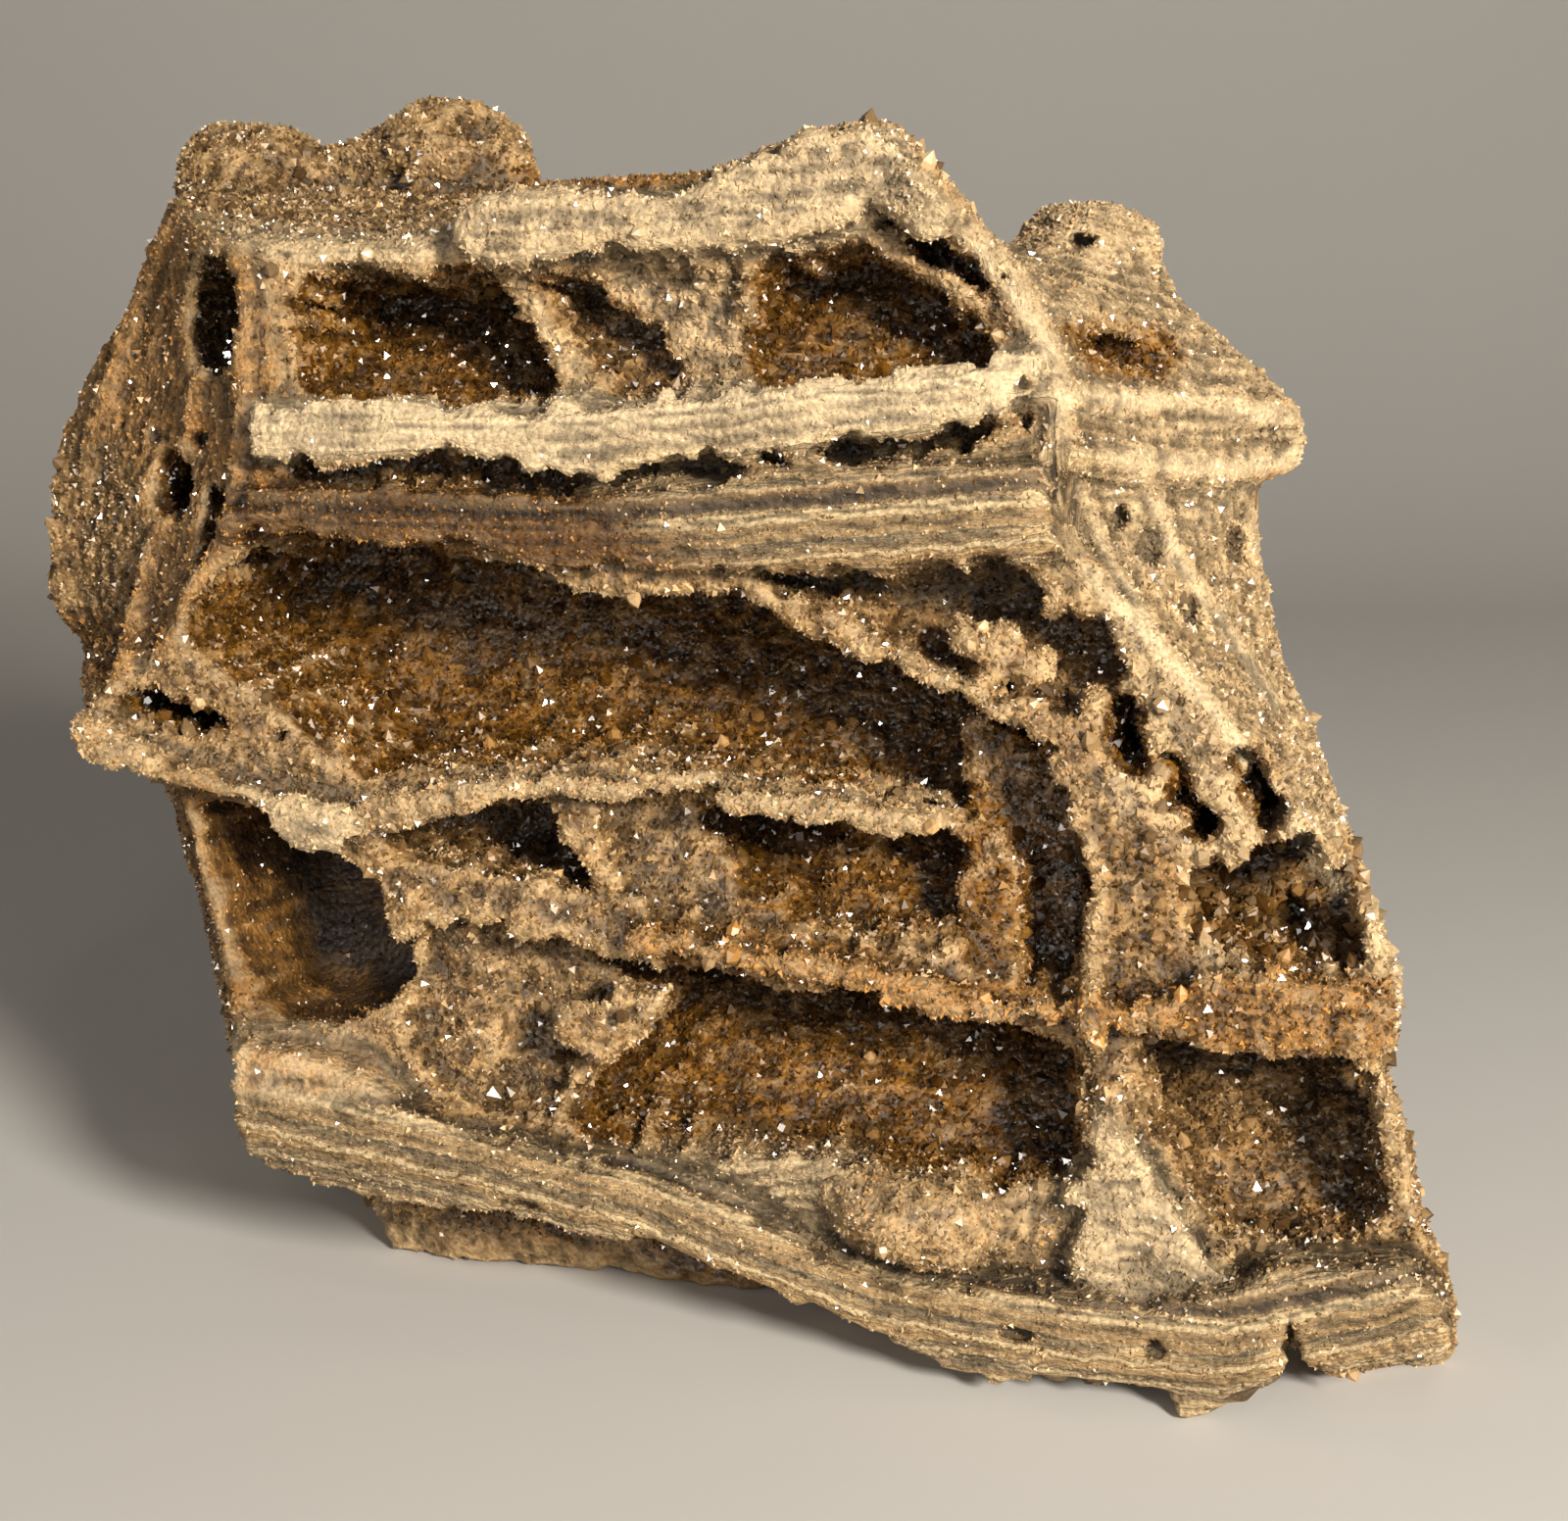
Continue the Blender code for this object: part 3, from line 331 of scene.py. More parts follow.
FLOOR_SHELF = [
    (9.5, 71.8), (17, 76.2), (26, 79.3), (38, 81.8), (48, 79.2), (58, 78.4), (66, 79.6), (80, 80.4),
    (97, 83), (98, 85), (80, 82.6), (66, 82), (56, 80.5), (46, 82.5), (37.5, 85.5), (31, 84),
    (24, 81), (15, 78.5), (9.8, 75.6),
]
CRUMBLY_LEDGE = [
    (64, 94.5), (76, 95.5), (88, 97.5), (100, 101), (109, 101), (118, 100.5), (124, 99.5),
    (130, 98.4), (136, 100), (141.5, 100.5), (141.8, 106.5), (128, 106), (112, 104.8),
    (100, 103.8), (88, 100.6), (76, 98.4), (66, 97),
]
BANDED_BASE = [
    (25, 105), (31, 105.5), (38, 107.5), (42, 111.5), (50, 115), (58, 117.5), (66, 118.5),
    (75, 121.5), (85, 127.5), (95, 130), (105, 130.5), (112, 131), (120, 131.5), (127, 129.5),
    (131, 127.5), (136, 128), (143.5, 127.5), (147.3, 132), (148, 138.5), (133, 137),
    (129, 138.5), (121.5, 143), (119, 140), (110, 138), (100, 139.2), (90, 134), (83, 132),
    (69, 126), (55, 122.6), (36, 120.6), (25.5, 116),
]
PROUD = [
    Form("Upper ledge", UPPER_LEDGE, -4.8, 14, 0.97, CREAM, 0.9),
    Form("Second ledge", SECOND_LEDGE, -3.5, 14, 0.97, BROWN_BANDED, 0.6),
    Form("Top ledge", TOP_LEDGE, -4, 22, 0.96, PALE_RIM, 0.6),
    Form("Floor shelf", FLOOR_SHELF, -5, 18, 0.98, GOLDEN, 0.5),
    Form("Crumbly ledge", CRUMBLY_LEDGE, -5, 20, 0.97, RUSTY, 0.7),
    Form("Banded base", BANDED_BASE, -6, 12, 0.97, BANDED, 0.5),
    Form("Lower left wall", [
        (39, 92), (46, 91), (54, 93.5), (62, 95), (66, 99), (60, 104), (56, 108), (57, 112), (54, 114),
        (46, 113), (41, 109),
    ], -1, 12, 0.98, SUGARY, 0.6),
    Form("Rear left foot", [
        (38, 118), (52, 119), (68, 121), (70, 127), (66, 134), (44, 134), (38.5, 125.5),
    ], 17.5, 40, 0.98, GOLDEN, 0.5),
]

MAIN_CHAMBER = [
    (25, 55.5), (35, 55), (45, 55.7), (52, 57.2), (58, 58.6), (74, 59.4), (78, 62), (84, 65.5),
    (92, 69), (98, 72), (103, 75), (108, 79), (110.5, 84), (112, 90), (111, 95), (109.5, 100.5),
    (103, 99), (103.4, 88), (98, 83), (92, 81.7), (82, 80.2), (72, 78.8), (64, 77), (56, 77.6),
    (48, 78), (38, 80.3), (31, 76), (28, 71), (22.5, 68.5), (19.2, 66), (19, 62.5), (22, 58),
]
UPPER_CELL = [
    (30, 28.5), (40, 28.2), (48, 27), (49.5, 29), (53, 34), (55, 37), (56.5, 40.5), (44, 41.3),
    (31, 41.3), (29.5, 36),
]
UPPER_RIGHT_CELL = [
    (76.5, 27.5), (88, 25), (91, 26), (96, 30), (101, 34.5), (101.5, 37), (90, 38.8), (76.5, 39.8),
    (75.5, 33),
]
MIDDLE_CELL = [
    (60, 82.6), (66, 82.4), (72, 82.4), (80, 82.8), (90, 83.8), (97, 84.8), (97.8, 90), (97.3, 94.8),
    (90, 96.6), (82, 95), (76, 94.3), (70, 93.8), (65.5, 93.8), (62.6, 88),
]
LOWER_CHAMBER = [
    (58, 96.5), (66, 98.2), (76, 99.4), (88, 101.6), (100, 104.8), (109, 106.6), (110, 110),
    (111, 115), (113.4, 119), (108, 121), (100, 122), (92, 120.4), (86, 118.4), (80, 117.7),
    (72, 116), (66, 116), (60, 117), (57, 113), (59, 108), (66, 103), (60, 100),
]
RIGHT_CHAMBER = [
    (116.6, 107.3), (125, 107.4), (134, 108.2), (138.6, 109), (140.5, 113), (141.4, 119),
    (141.6, 123.5), (139, 126.3), (133, 126.6), (128, 126), (124, 125), (120.4, 120), (117.6, 116),
    (116.4, 111),
]
RIGHT_POCKET = [
    (120, 90), (123, 88), (127, 88.8), (131, 86), (135, 87.4), (138, 91), (139, 96), (139, 99),
    (133, 99.3), (130.5, 98), (124, 97), (120.5, 95),
]
LEFT_HOLLOW = [
    (19.8, 81.3), (26, 81.6), (31, 85.2), (35.5, 88.2), (39, 90.6), (39.2, 97), (39.2, 102.8),
    (35, 104.8), (26.6, 104), (24.4, 98), (22.2, 92), (20.2, 86),
]
CELLS = [
    Form("Top left hole", [
        (17.2, 26.6), (22, 25.4), (24.4, 28.6), (24.4, 34), (21.6, 37.6), (16.8, 36.4), (15.4, 31.5),
    ], -4, 23, 0.85, SOFT_BROWN),
    Form("Plate recess", [
        (46, 26.8), (52, 27.6), (60, 26.6), (72, 27), (76, 27), (75, 33), (76, 39.5), (60, 40.3),
        (54, 37), (53, 33),
    ], -4, 3.6, 0.97, PALE_SUGARY, 1.1),
    Form("Upper cell", UPPER_CELL, -4, 24, 0.85, BROWN, 0.9, 11),
    Form("Three cornered pocket", [
        (53.6, 28), (58.5, 28), (63.6, 31.4), (67, 34.8), (68.4, 40), (61.4, 40), (59.4, 36),
        (56, 32.5),
    ], 0, 13, 0.9, SOFT_BROWN, 1.2, 5),
    Form("Upper right cell", UPPER_RIGHT_CELL, -4, 16, 0.86, BROWN, 0.8, 8),
    Form("Shoulder slot", [
        (88.5, 20.5), (95, 22.5), (102, 29.5), (99, 29.6), (92, 26.6), (89, 23.6),
    ], -4, 12, 0.7),
    Form("Gap under the upper ledge", [
        (31, 46), (48, 45.5), (60, 48.3), (70, 46.2), (82, 45.2), (92, 44.4), (101, 42.6), (101, 45.4),
        (90, 47), (78, 47.8), (70, 49.2), (60, 50), (48, 49.6), (31, 49),
    ], -2.5, 7, 0.8, SOFT_BROWN, 1.0, 2),
    Form("Left pocket", [(11.5, 47), (15.5, 46.5), (16, 51.5), (12, 52.5)], 0, 26, 0.8),
    Form("Left slot", [(19.8, 50.5), (22, 50.5), (22, 57.5), (19.6, 58)], 0, 20, 0.7),
    Form("Main chamber", MAIN_CHAMBER, -6, 31, 0.93, BROWN, 0.7, 19),
    Form("Curtain pocket", [
        (76, 58.4), (100, 57.8), (106, 60.5), (112, 64.8), (115.5, 68.4), (113, 70.5), (107, 72),
        (100, 70), (92, 66.6), (84, 62.9), (79, 60.4),
    ], -4, 13, 0.85, SOFT_BROWN, 1.2, 5),
    Form("Left end pocket", [
        (11.8, 71.2), (15, 71.6), (23, 72.4), (23, 75), (17, 74.5), (12.5, 73),
    ], -6, 24, 0.9),
    Form("Right slot high", [
        (113.3, 71.5), (115.5, 71), (117, 76.5), (116.6, 79), (114.2, 79), (113, 75),
    ], -4, 16, 0.8, BROWN, 1.3),
    Form("Right slot mid", [
        (118, 77), (120.8, 77.5), (122, 82), (124.5, 86.5), (121, 85.6), (118.8, 82),
    ], -4, 18, 0.8, BROWN, 1.3),
    Form("Right slot low", [
        (125.5, 76.5), (129, 77.5), (131.5, 83), (129, 85.4), (126, 80.5),
    ], -4, 22, 0.8, BROWN, 1.3),
    Form("Right pocket", RIGHT_POCKET, -4, 22, 0.9, LARGE_DARK, 1.4, 4),
    Form("Shoulder pocket", [
        (108.5, 33.5), (112, 32.6), (117, 33.2), (119, 36), (117, 38), (111.5, 37.4),
    ], -4, 20, 0.8),
    Form("Middle cell", MIDDLE_CELL, -6, 5, 0.97, SUGARY, 1.2, 2),
    Form("Middle cell's deep end", [
        (70, 83), (80, 83.2), (90, 84.2), (96.8, 85), (97.4, 90), (97, 94.2), (90, 95),
        (82, 94), (76, 92.6), (73.6, 89),
    ], -4, 21, 0.92, BROWN, 0.8, 12),
    Form("Set-back wall right of the middle cell", [
        (96, 80.6), (103.6, 86), (104.4, 92), (104, 99.4), (97.6, 97.4), (97.6, 88),
    ], -5, 3.2, 1.0, BROWN, 0.9),
    Form("Lower left cell", [
        (38, 85.8), (40, 83.8), (46, 83), (55, 81.4), (57, 83.4), (59.5, 88), (60.5, 91.4), (52, 90.4),
        (44, 88.3), (39.5, 87),
    ], -4, 15, 0.82, SOFT_BROWN, 0.6),
    Form("Left deep hollow", LEFT_HOLLOW, -6, 26, 0.86, SMOOTH_WALL, 0.5, 9),
    Form("Lower chamber", LOWER_CHAMBER, -6, 25, 0.88, BROWN, 0.8, 14),
    Form("Lower chamber's left end", [
        (41.5, 94), (52, 94.5), (60, 96.6), (66, 102), (59, 109), (57, 114.6), (48, 113.4), (43, 109.6),
        (41, 103),
    ], -4, 5.5, 0.88, SOFT_BROWN, 0.9),
    Form("Right chamber", RIGHT_CHAMBER, -6, 23, 0.9, SOFT_BROWN, 0.8, 13),
    Form("Notch in the base", [
        (131.1, 131.8), (132.3, 131.6), (133.4, 136), (134.4, 141), (130.2, 141), (130.8, 136),
    ], -10, 2, 0.9),
    Form("Hollow under the base", [
        (26, 119.2), (36, 122.4), (46, 123.4), (56, 124.8), (68, 128.4), (80, 133.4), (84, 150),
        (26, 150),
    ], -10, 13, 1.0),
]
PLATES = [
    Form("Tongue plate", [
        (25, 79.8), (30, 80), (37, 82.5), (38.2, 86), (36.8, 88.4), (33.4, 86.8), (29, 83.6),
    ], -5.5, -3.4, 0.9, PALE_RIM, 0.5),
    Form("Hanging crust", [
        (56, 57.4), (75, 58), (74, 60.4), (69, 60.9), (63, 60.3), (58, 59.8),
    ], -0.5, 4, 0.9, SUGARY, 0.8),
    Form("Flap in the curtain pocket", [
        (95.5, 62), (103.6, 64.6), (108.4, 68), (106, 70.6), (102.8, 69), (100, 69.6), (97.4, 66.4),
    ], 1.5, 7, 0.95, SUGARY, 1.2),
    Form("Jagged piece", [
        (57, 103), (64, 99.6), (70, 101.4), (66, 105), (60, 107.4),
    ], -2, 4, 0.8, SUGARY, 1.2),
    Form("Foot of the strut", [
        (108, 122), (109.4, 119.4), (112, 118), (112.8, 113), (115, 115.6), (117.6, 118.6), (120, 122.6),
        (122.2, 127), (125, 130), (124, 133), (113, 133), (112.4, 130), (108.4, 127.8), (111, 125),
    ], -2.8, 8, 0.95, PALE_RIM, 1.4),
    Form("Wall of the chamber's narrow end", [
        (98, 72), (104, 75), (109, 79), (112, 86), (112.5, 92), (110.5, 101.5), (102.6, 99.6), (103, 88),
        (98, 83),
    ], 8.5, 34, 1.0, BROWN),
]
RIBS = [
    Rib("Rib left of the hole", [(17.5, 24), (15.5, 30), (12.5, 38), (9.5, 46)], 1.3),
    Rib("Rib right of the hole", [(24.6, 26), (25.2, 31), (25.4, 38), (25, 47)], 1.1),
    Rib("Second rib", [(27.6, 26.5), (28, 33), (28.4, 40)], 0.9),
    Rib("Long rib of the left flank", [(21.5, 37), (18.5, 48), (15.5, 58), (12.5, 70)], 1.3),
    Rib("Short rib of the left flank", [(24.5, 48), (23, 56), (19.5, 62.5)], 1.1),
    Rib("Main ridge high", [(93.5, 18), (98.5, 24), (103.5, 30), (107, 36), (108.5, 46)], 1.1, VEIN),
    Rib("Main ridge low", [(108.5, 55), (113, 61), (119, 67), (125, 74), (131, 83), (137, 91)], 1.0, VEIN),
    Rib("Vein across the shoulder", [(107, 46.6), (116, 47), (125, 47.8), (133, 46.4)], 1.2, VEIN),
    Rib("Upper vein", [(106, 40), (114, 41), (123, 41), (131, 42.5)], 0.8, VEIN),
    Rib("Steep vein", [(116, 48), (119.5, 56), (125, 64), (130, 72)], 0.7, VEIN),
    Rib("Short vein", [(110, 50), (113, 57), (118, 65)], 0.7, VEIN),
    Rib("Wall between chambers", [(110, 84), (111.5, 92), (111, 100), (112, 107)], 1.3),
    Rib("Vein of the lower left wall", [(42, 92), (48, 97), (51, 104), (57, 108)], 0.8, VEIN),
]
OUTER_MOUNDS = [
    Lump("Knob on the shoulder", (112, 26, 27), (6.5, 7, 5)),
    Lump("Bulge of the left flank", (10, 55, 27), (6, 9, 11)),
    Lump("Crown mound left", (25, 18.5, 31), (8, 8, 6)),
    Lump("Crown mound right", (47, 16.5, 31), (9, 8, 7)),
]
INNER_MOUNDS = [
    Lump("Mound on the lower floor", (94.5, 124.2, 2), (10.5, 8, 5.2)),
    Lump("Strut", (114, 112, 6), (4, 8, 9)),
    Lump("Lumps in the lower left", (49, 106, 6), (5, 5, 6)),
    Lump("Shelf crumbs", (30, 77.5, 4), (8, 7, 3.4)),
]
# Shallow hollows that the photo's side doesn't show: a place along the face, behind it and up, and radii.
HOLLOWS = [
    # The back.
    Pit((-98, 57, 98), (19, 8, 6)), Pit((-80, 59, 94), (15, 8, 7)), Pit((-48, 58, 104), (17, 9, 5)),
    Pit((-74, 60, 77), (31, 8, 5)), Pit((-27, 57, 84), (13, 8, 7)), Pit((-20, 56, 76), (10, 8, 4)),
    Pit((-104, 58, 60), (17, 8, 6)), Pit((-58, 61, 60), (20, 9, 5)), Pit((-36, 60, 56), (19, 9, 7)),
    Pit((-86, 60, 41), (24, 8, 5)), Pit((-62, 61, 37), (14, 8, 6)), Pit((-28, 58, 36), (14, 8, 7)),
    Pit((-66, 60, 20), (25, 8, 4.5)),
    # The top.
    Pit((-72, 31, 130), (15, 12, 6)), Pit((-34, 40, 124), (13, 9, 5)),
    # The underside.
    Pit((-62, 36, -3), (30, 13, 11)), Pit((-36, 40, -3), (24, 13, 9)), Pit((-16, 26, -3), (16, 13, 8)),
]

# The crystal crusts: a crust's node, its outline on the face and how deep it reaches.
CRUSTS = [
    ("druse_main_chamber", MAIN_CHAMBER, 40),
    ("druse_upper_cell", UPPER_CELL, 34),
    ("druse_upper_right_cell", UPPER_RIGHT_CELL, 24),
    ("druse_middle_cell", MIDDLE_CELL, 28),
    ("druse_lower_chamber", LOWER_CHAMBER, 32),
    ("druse_right_chamber", RIGHT_CHAMBER, 30),
    ("druse_right_pocket", RIGHT_POCKET, 30),
]

# Patches of the outer skin that look unlike the rest, drawn as they are seen.
PATCHES = [
    Patch("Crown", [(8, 6), (58, 6), (56.5, 21), (48, 23.4), (40, 24.4), (17, 23)], 8, 60, 1.5, CROWN_LOOK),
    Patch("Rim of the crown's shelf", [
        (16.5, 21.8), (30, 23.4), (40, 24), (47, 22.6), (48, 26), (40, 27), (17, 26),
    ], -5, 14, 1.0, PALE_RIM),
    Patch("Rust on top", [(50, 16.5), (73, 16), (73.5, 20.5), (56, 21.5)], -5, 60, 1.5, RUSTY),
    Patch("Left flank", [
        (-5, 8), (17, 20), (26, 26), (29.5, 36), (28, 48), (23.5, 58), (19, 66), (10, 71), (-5, 76),
    ], -5, 60, 2.0, FLANK),
    Patch("Bulge of the left flank", [(2, 45), (12, 46), (14.5, 55), (12, 62), (2, 62)], 4, 60, 2.0, SUGARY),
    Patch("Rust below the left flank", [(7, 63), (13, 63), (12, 69.5), (7, 70)], -5, 60, 1.5, RUSTY),
    Patch("Rust by the second ledge", [(24, 47), (30, 47.5), (36, 52), (26, 55)], -5, 12, 2.0, RUSTY),
    Patch("Shoulder", [
        (97, 18), (120, 19), (142, 42), (130, 50), (128.5, 57), (118, 60), (109.5, 55), (106, 40), (103, 30),
    ], -5, 60, 2.0, SHOULDER),
    Patch("Right flank", [
        (109, 57), (119, 58), (128, 52), (150, 60), (150, 104), (112, 99), (112.5, 88), (113, 70),
    ], -5, 60, 2.0, PALE_SUGARY),
    Patch("Lower floor", [
        (60, 117), (80, 117.5), (100, 121.5), (112, 121), (126, 127), (96, 130), (70, 122),
    ], -8, 12, 1.5, GOLDEN),
]

# Patches that lie over the ledges and the cells as well.
OVERLAYS = [
    Patch("Pale end of the second ledge", [
        (62, 46.5), (112, 44), (112, 59), (74, 59), (66, 54),
    ], -8, 12, 5.0, BANDED),
    Patch("Ochre end of the base", [
        (24, 104.6), (36, 105), (42, 110.6), (34, 112.4), (24, 111.6),
    ], -8, 9, 1.2, OCHRE),
    Patch("Ochre edge below the shoulder", [
        (126.6, 47.6), (132, 47.6), (132, 60), (128.6, 58),
    ], 8, 60, 1.0, OCHRE),
    Patch("Left wall of the deep hollow", [
        (17, 78), (24, 80), (27, 90), (29, 104), (24, 104), (19, 90),
    ], -8, 40, 1.5, SMOOTH_WALL),
    Patch("Druse beside the right pocket", [
        (112, 82), (118, 84), (122, 88), (122, 99), (112.5, 99),
    ], -8, 30, 2.0, SMOKY),
    Patch("Pale swirl of the lower floor", [
        (66, 118), (78, 117.5), (88, 117.5), (84, 121), (86, 127), (74, 123),
    ], -8, 10, 2.0, PALE_BANDED),
    Patch("Brown wall at the chamber's right", [
        (96.5, 74), (103, 76), (109, 82), (110, 99.5), (98.5, 98),
    ], -8, 40, 1.5, BROWN),
]

# Small openings and pits: a drawn point, met on its line of sight, and radii across, into and up.
PITS = [
    Pit((12.5, 43.2), (1.0, 3.0, 0.9)), Pit((20.5, 44.8), (1.7, 3.0, 0.9)),
    Pit((15.6, 44.6), (0.8, 2.0, 0.7)), Pit((28.2, 75.0), (1.0, 4.0, 0.8)),
    Pit((104.2, 39.4), (1.1, 2.5, 1.2)), Pit((104.7, 43.2), (0.9, 2.0, 1.0)),
    Pit((104.4, 74.4), (2.1, 4.0, 1.3)), Pit((106.6, 76.4), (1.4, 4.0, 1.0)),
    Pit((110.4, 24.6), (2.1, 5.0, 1.5)), Pit((102.4, 28.2), (1.2, 3.0, 0.9)),
    Pit((92.4, 41.1), (0.8, 0.8, 0.7)), Pit((94.6, 41.3), (0.6, 0.7, 0.5)),
    Pit((40, 18.6), (2.2, 3.0, 1.6)), Pit((33, 31), (1.4, 3.0, 1.2)), Pit((117.6, 55.4), (1.6, 3.0, 2.4)),
    Pit((121.6, 62.5), (1.5, 3.0, 2.6)), Pit((114.2, 52.4), (1.2, 3.0, 1.6)),
    Pit((126, 55.5), (1.6, 3.0, 2.0)), Pit((56, 73), (1.6, 1.0, 1.4)), Pit((131.8, 93.4), (1.8, 3.5, 2.2)),
    Pit((53, 123.2), (2.5, 3.0, 0.8)), Pit((103.6, 136.4), (1.6, 2.0, 0.8)),
    Pit((118, 137.6), (1.4, 2.0, 0.9)),
]

# The run of the growth bands near each banded form, as lines drawn on the face.
ACROSS = [(0, 64), (60, 60), (110, 56), (160, 50)]
GUIDES = {
    "Upper ledge": [(20, 44.5), (60, 43.5), (104, 38.6)],
    "Second ledge": [(20, 53.2), (62, 54.4), (108, 51)],
    "Top ledge": [(46, 24.5), (72, 22.5), (98, 19.5)],
    "Floor shelf": [(8, 74), (38, 83.2), (60, 79.6), (100, 84)],
    "Banded base": [(22, 110), (45, 115.5), (66, 121), (90, 130.5), (110, 134.5), (125, 136), (150, 131)],
    "Foot of the strut": [(104, 124.6), (111, 126.4), (117, 126), (122, 128), (128, 133)],
    "Left flank": [(23, 24), (17, 44), (9, 76)],
    "Shoulder": [(98, 38), (112, 42.5), (124, 44.5), (140, 44)],
    "Right flank": [(108, 56), (122, 70), (134, 88), (142, 108)],
}


def line_of_sight(x, y):
    """The direction in which a drawn point is seen from the station point."""
    across, below = x - PICTURE_CENTRE[0], y - PICTURE_CENTRE[1]
    forward = PICTURE_DISTANCE * math.cos(EYE_PITCH) - below * math.sin(EYE_PITCH)
    down = below * math.cos(EYE_PITCH) + PICTURE_DISTANCE * math.sin(EYE_PITCH)
    return np.array((across, forward, -down))


def place(x, y, depth):
    """The point on the line of sight of a drawn point that lies depth behind the plane of the face."""
    direction = line_of_sight(x, y)
    reach = (depth + INTO.dot(FRONT_FOOT - EYE)) / INTO.dot(direction)
    return EYE + reach * direction


def on_face(point):
    """A point's place along the face, behind it and up it, from the front foot."""
    away = point - FRONT_FOOT
    return np.array((away.dot(ALONG), away.dot(INTO), away.dot(UPWARD)))


def drawn(along, behind, up):
    """The drawn x and y of places given along the face, behind it and up it."""
    start = FRONT_FOOT - EYE
    across, forward, height = (
        start[i] + along * ALONG[i] + behind * INTO[i] + up * UPWARD[i] for i in range(3))
    ahead = forward * math.cos(EYE_PITCH) - height * math.sin(EYE_PITCH)
    lift = forward * math.sin(EYE_PITCH) + height * math.cos(EYE_PITCH)
    scale = PICTURE_DISTANCE / ahead
    return PICTURE_CENTRE[0] + across * scale, PICTURE_CENTRE[1] - lift * scale


def straight_outline(outline, depth):
    """A drawn outline at a depth, as places along the face and up it."""
    spots = [on_face(place(x, y, depth)) for x, y in outline]
    return [(spot[0], spot[2]) for spot in spots]


def rounded(outline):
    """An outline with its corners cut once, so that it bends as worn stone does."""
    points = np.array(outline, float)
    following = np.roll(points, -1, axis=0)
    keep = 1.0 - CORNER_CUT
    cut = np.stack((points * keep + following * CORNER_CUT, points * CORNER_CUT + following * keep), axis=1)
    return [tuple(point) for point in cut.reshape(-1, 2)]


def broken_edge(outline, amount, rng):
    """An outline whose sides are broken into short steps of uneven size."""
    points = []
    run = 0.0
    for (x1, y1), (x2, y2) in zip(outline, outline[1:] + outline[:1]):
        length = math.hypot(x2 - x1, y2 - y1)
        steps = max(1, round(length / EDGE_STEP))
        run = 0.6 * run + 0.8 * rng.uniform(-1.0, 1.0)
        for i in range(steps):
            share = (i + 0.6 * rng.random()) / steps
            aside = amount * (rng.uniform(-1.0, 1.0) + 0.6 * run) if steps > 1 else 0.0
            points.append((x1 + (x2 - x1) * share - (y2 - y1) / (length + 1e-6) * aside,
                           y1 + (y2 - y1) * share + (x2 - x1) / (length + 1e-6) * aside))
    return points


def outline_distance(x, y, outline):
    """Signed distances from an outline, negative inside it."""
    nearest = np.full(x.shape, 1e12, np.float32)
    inside = np.zeros(x.shape, bool)
    for (x1, y1), (x2, y2) in zip(outline, outline[1:] + outline[:1]):
        dx, dy = x2 - x1, y2 - y1
        share = np.clip(((x - x1) * dx + (y - y1) * dy) / (dx * dx + dy * dy + 1e-9), 0.0, 1.0)
        away = (x - x1 - share * dx) ** 2 + (y - y1 - share * dy) ** 2
        np.minimum(nearest, away, out=nearest)
        if y1 != y2:
            inside ^= ((y1 > y) != (y2 > y)) & (x < x1 + (y - y1) * dx / dy)
    return np.where(inside, -np.sqrt(nearest), np.sqrt(nearest)).astype(np.float32)


def guide_distance(x, y, guide):
    """Signed distances from a drawn line, positive below it or to its left."""
    nearest = np.full(x.shape, 1e9, np.float32)
    signed = np.zeros(x.shape, np.float32)
    for (x1, y1), (x2, y2) in zip(guide, guide[1:]):
        dx, dy = x2 - x1, y2 - y1
        share = np.clip(((x - x1) * dx + (y - y1) * dy) / (dx * dx + dy * dy), 0.0, 1.0)
        away = np.hypot(x - x1 - share * dx, y - y1 - share * dy)
        side = np.sign(dx * (y - y1) - dy * (x - x1))
        signed = np.where(away < nearest, away * side, signed)
        nearest = np.minimum(nearest, away)
    return signed


def smooth_step(low, high, value):
    """From 0 at the low limit to 1 at the high one, without a corner; the limits may be swapped."""
    share = np.clip((value - low) / (high - low), 0.0, 1.0)
    return share * share * (3.0 - 2.0 * share)


def soft_min(a, b, k):
    """The smaller of two distances, rounded where they are less than k apart."""
    share = np.clip(0.5 + 0.5 * (b - a) / k, 0.0, 1.0)
    return b * (1.0 - share) + a * share - k * share * (1.0 - share)


def soft_max(a, b, k):
    return -soft_min(-a, -b, k)


def spread(lattice, axis, low, share):
    """Blend the points of a lattice with their next ones along an axis."""
    share = share.reshape([-1 if i == axis else 1 for i in range(3)])
    return np.take(lattice, low, axis) * (1.0 - share) + np.take(lattice, low + 1, axis) * share


def noise_on_lattice(rng, shape, span):
    """Smooth noise from about -1 to 1 on a lattice; span is its lumps' size in lattice steps."""
    counts = [int(n / span) + 4 for n in shape]
    lattice = rng.uniform(-1.0, 1.0, counts).astype(np.float32)
    for axis, n in enumerate(shape):
        at = np.arange(n) / span + rng.uniform(0.0, 1.0)
        low = at.astype(int)
        lattice = spread(lattice, axis, low, smooth_step(0.0, 1.0, at - low).astype(np.float32))
    return lattice


def noise_at(points, grain, rng):
    """Smooth noise from about -1 to 1 at loose points; grain is the size of its lumps."""
    low = points.min(axis=0) - grain
    at = (points - low) / grain
    cell = at.astype(int)
    lattice = rng.uniform(-1.0, 1.0, cell.max(axis=0) + 2).astype(np.float32)
    share = smooth_step(0.0, 1.0, at - cell).astype(np.float32)
    total = np.zeros(len(points), np.float32)
    for corner in range(8):
        step = np.array((corner & 1, corner >> 1 & 1, corner >> 2 & 1))
        weight = np.prod(np.where(step, share, 1.0 - share), axis=1)
        total += weight * lattice[tuple((cell + step).T)]
    return total


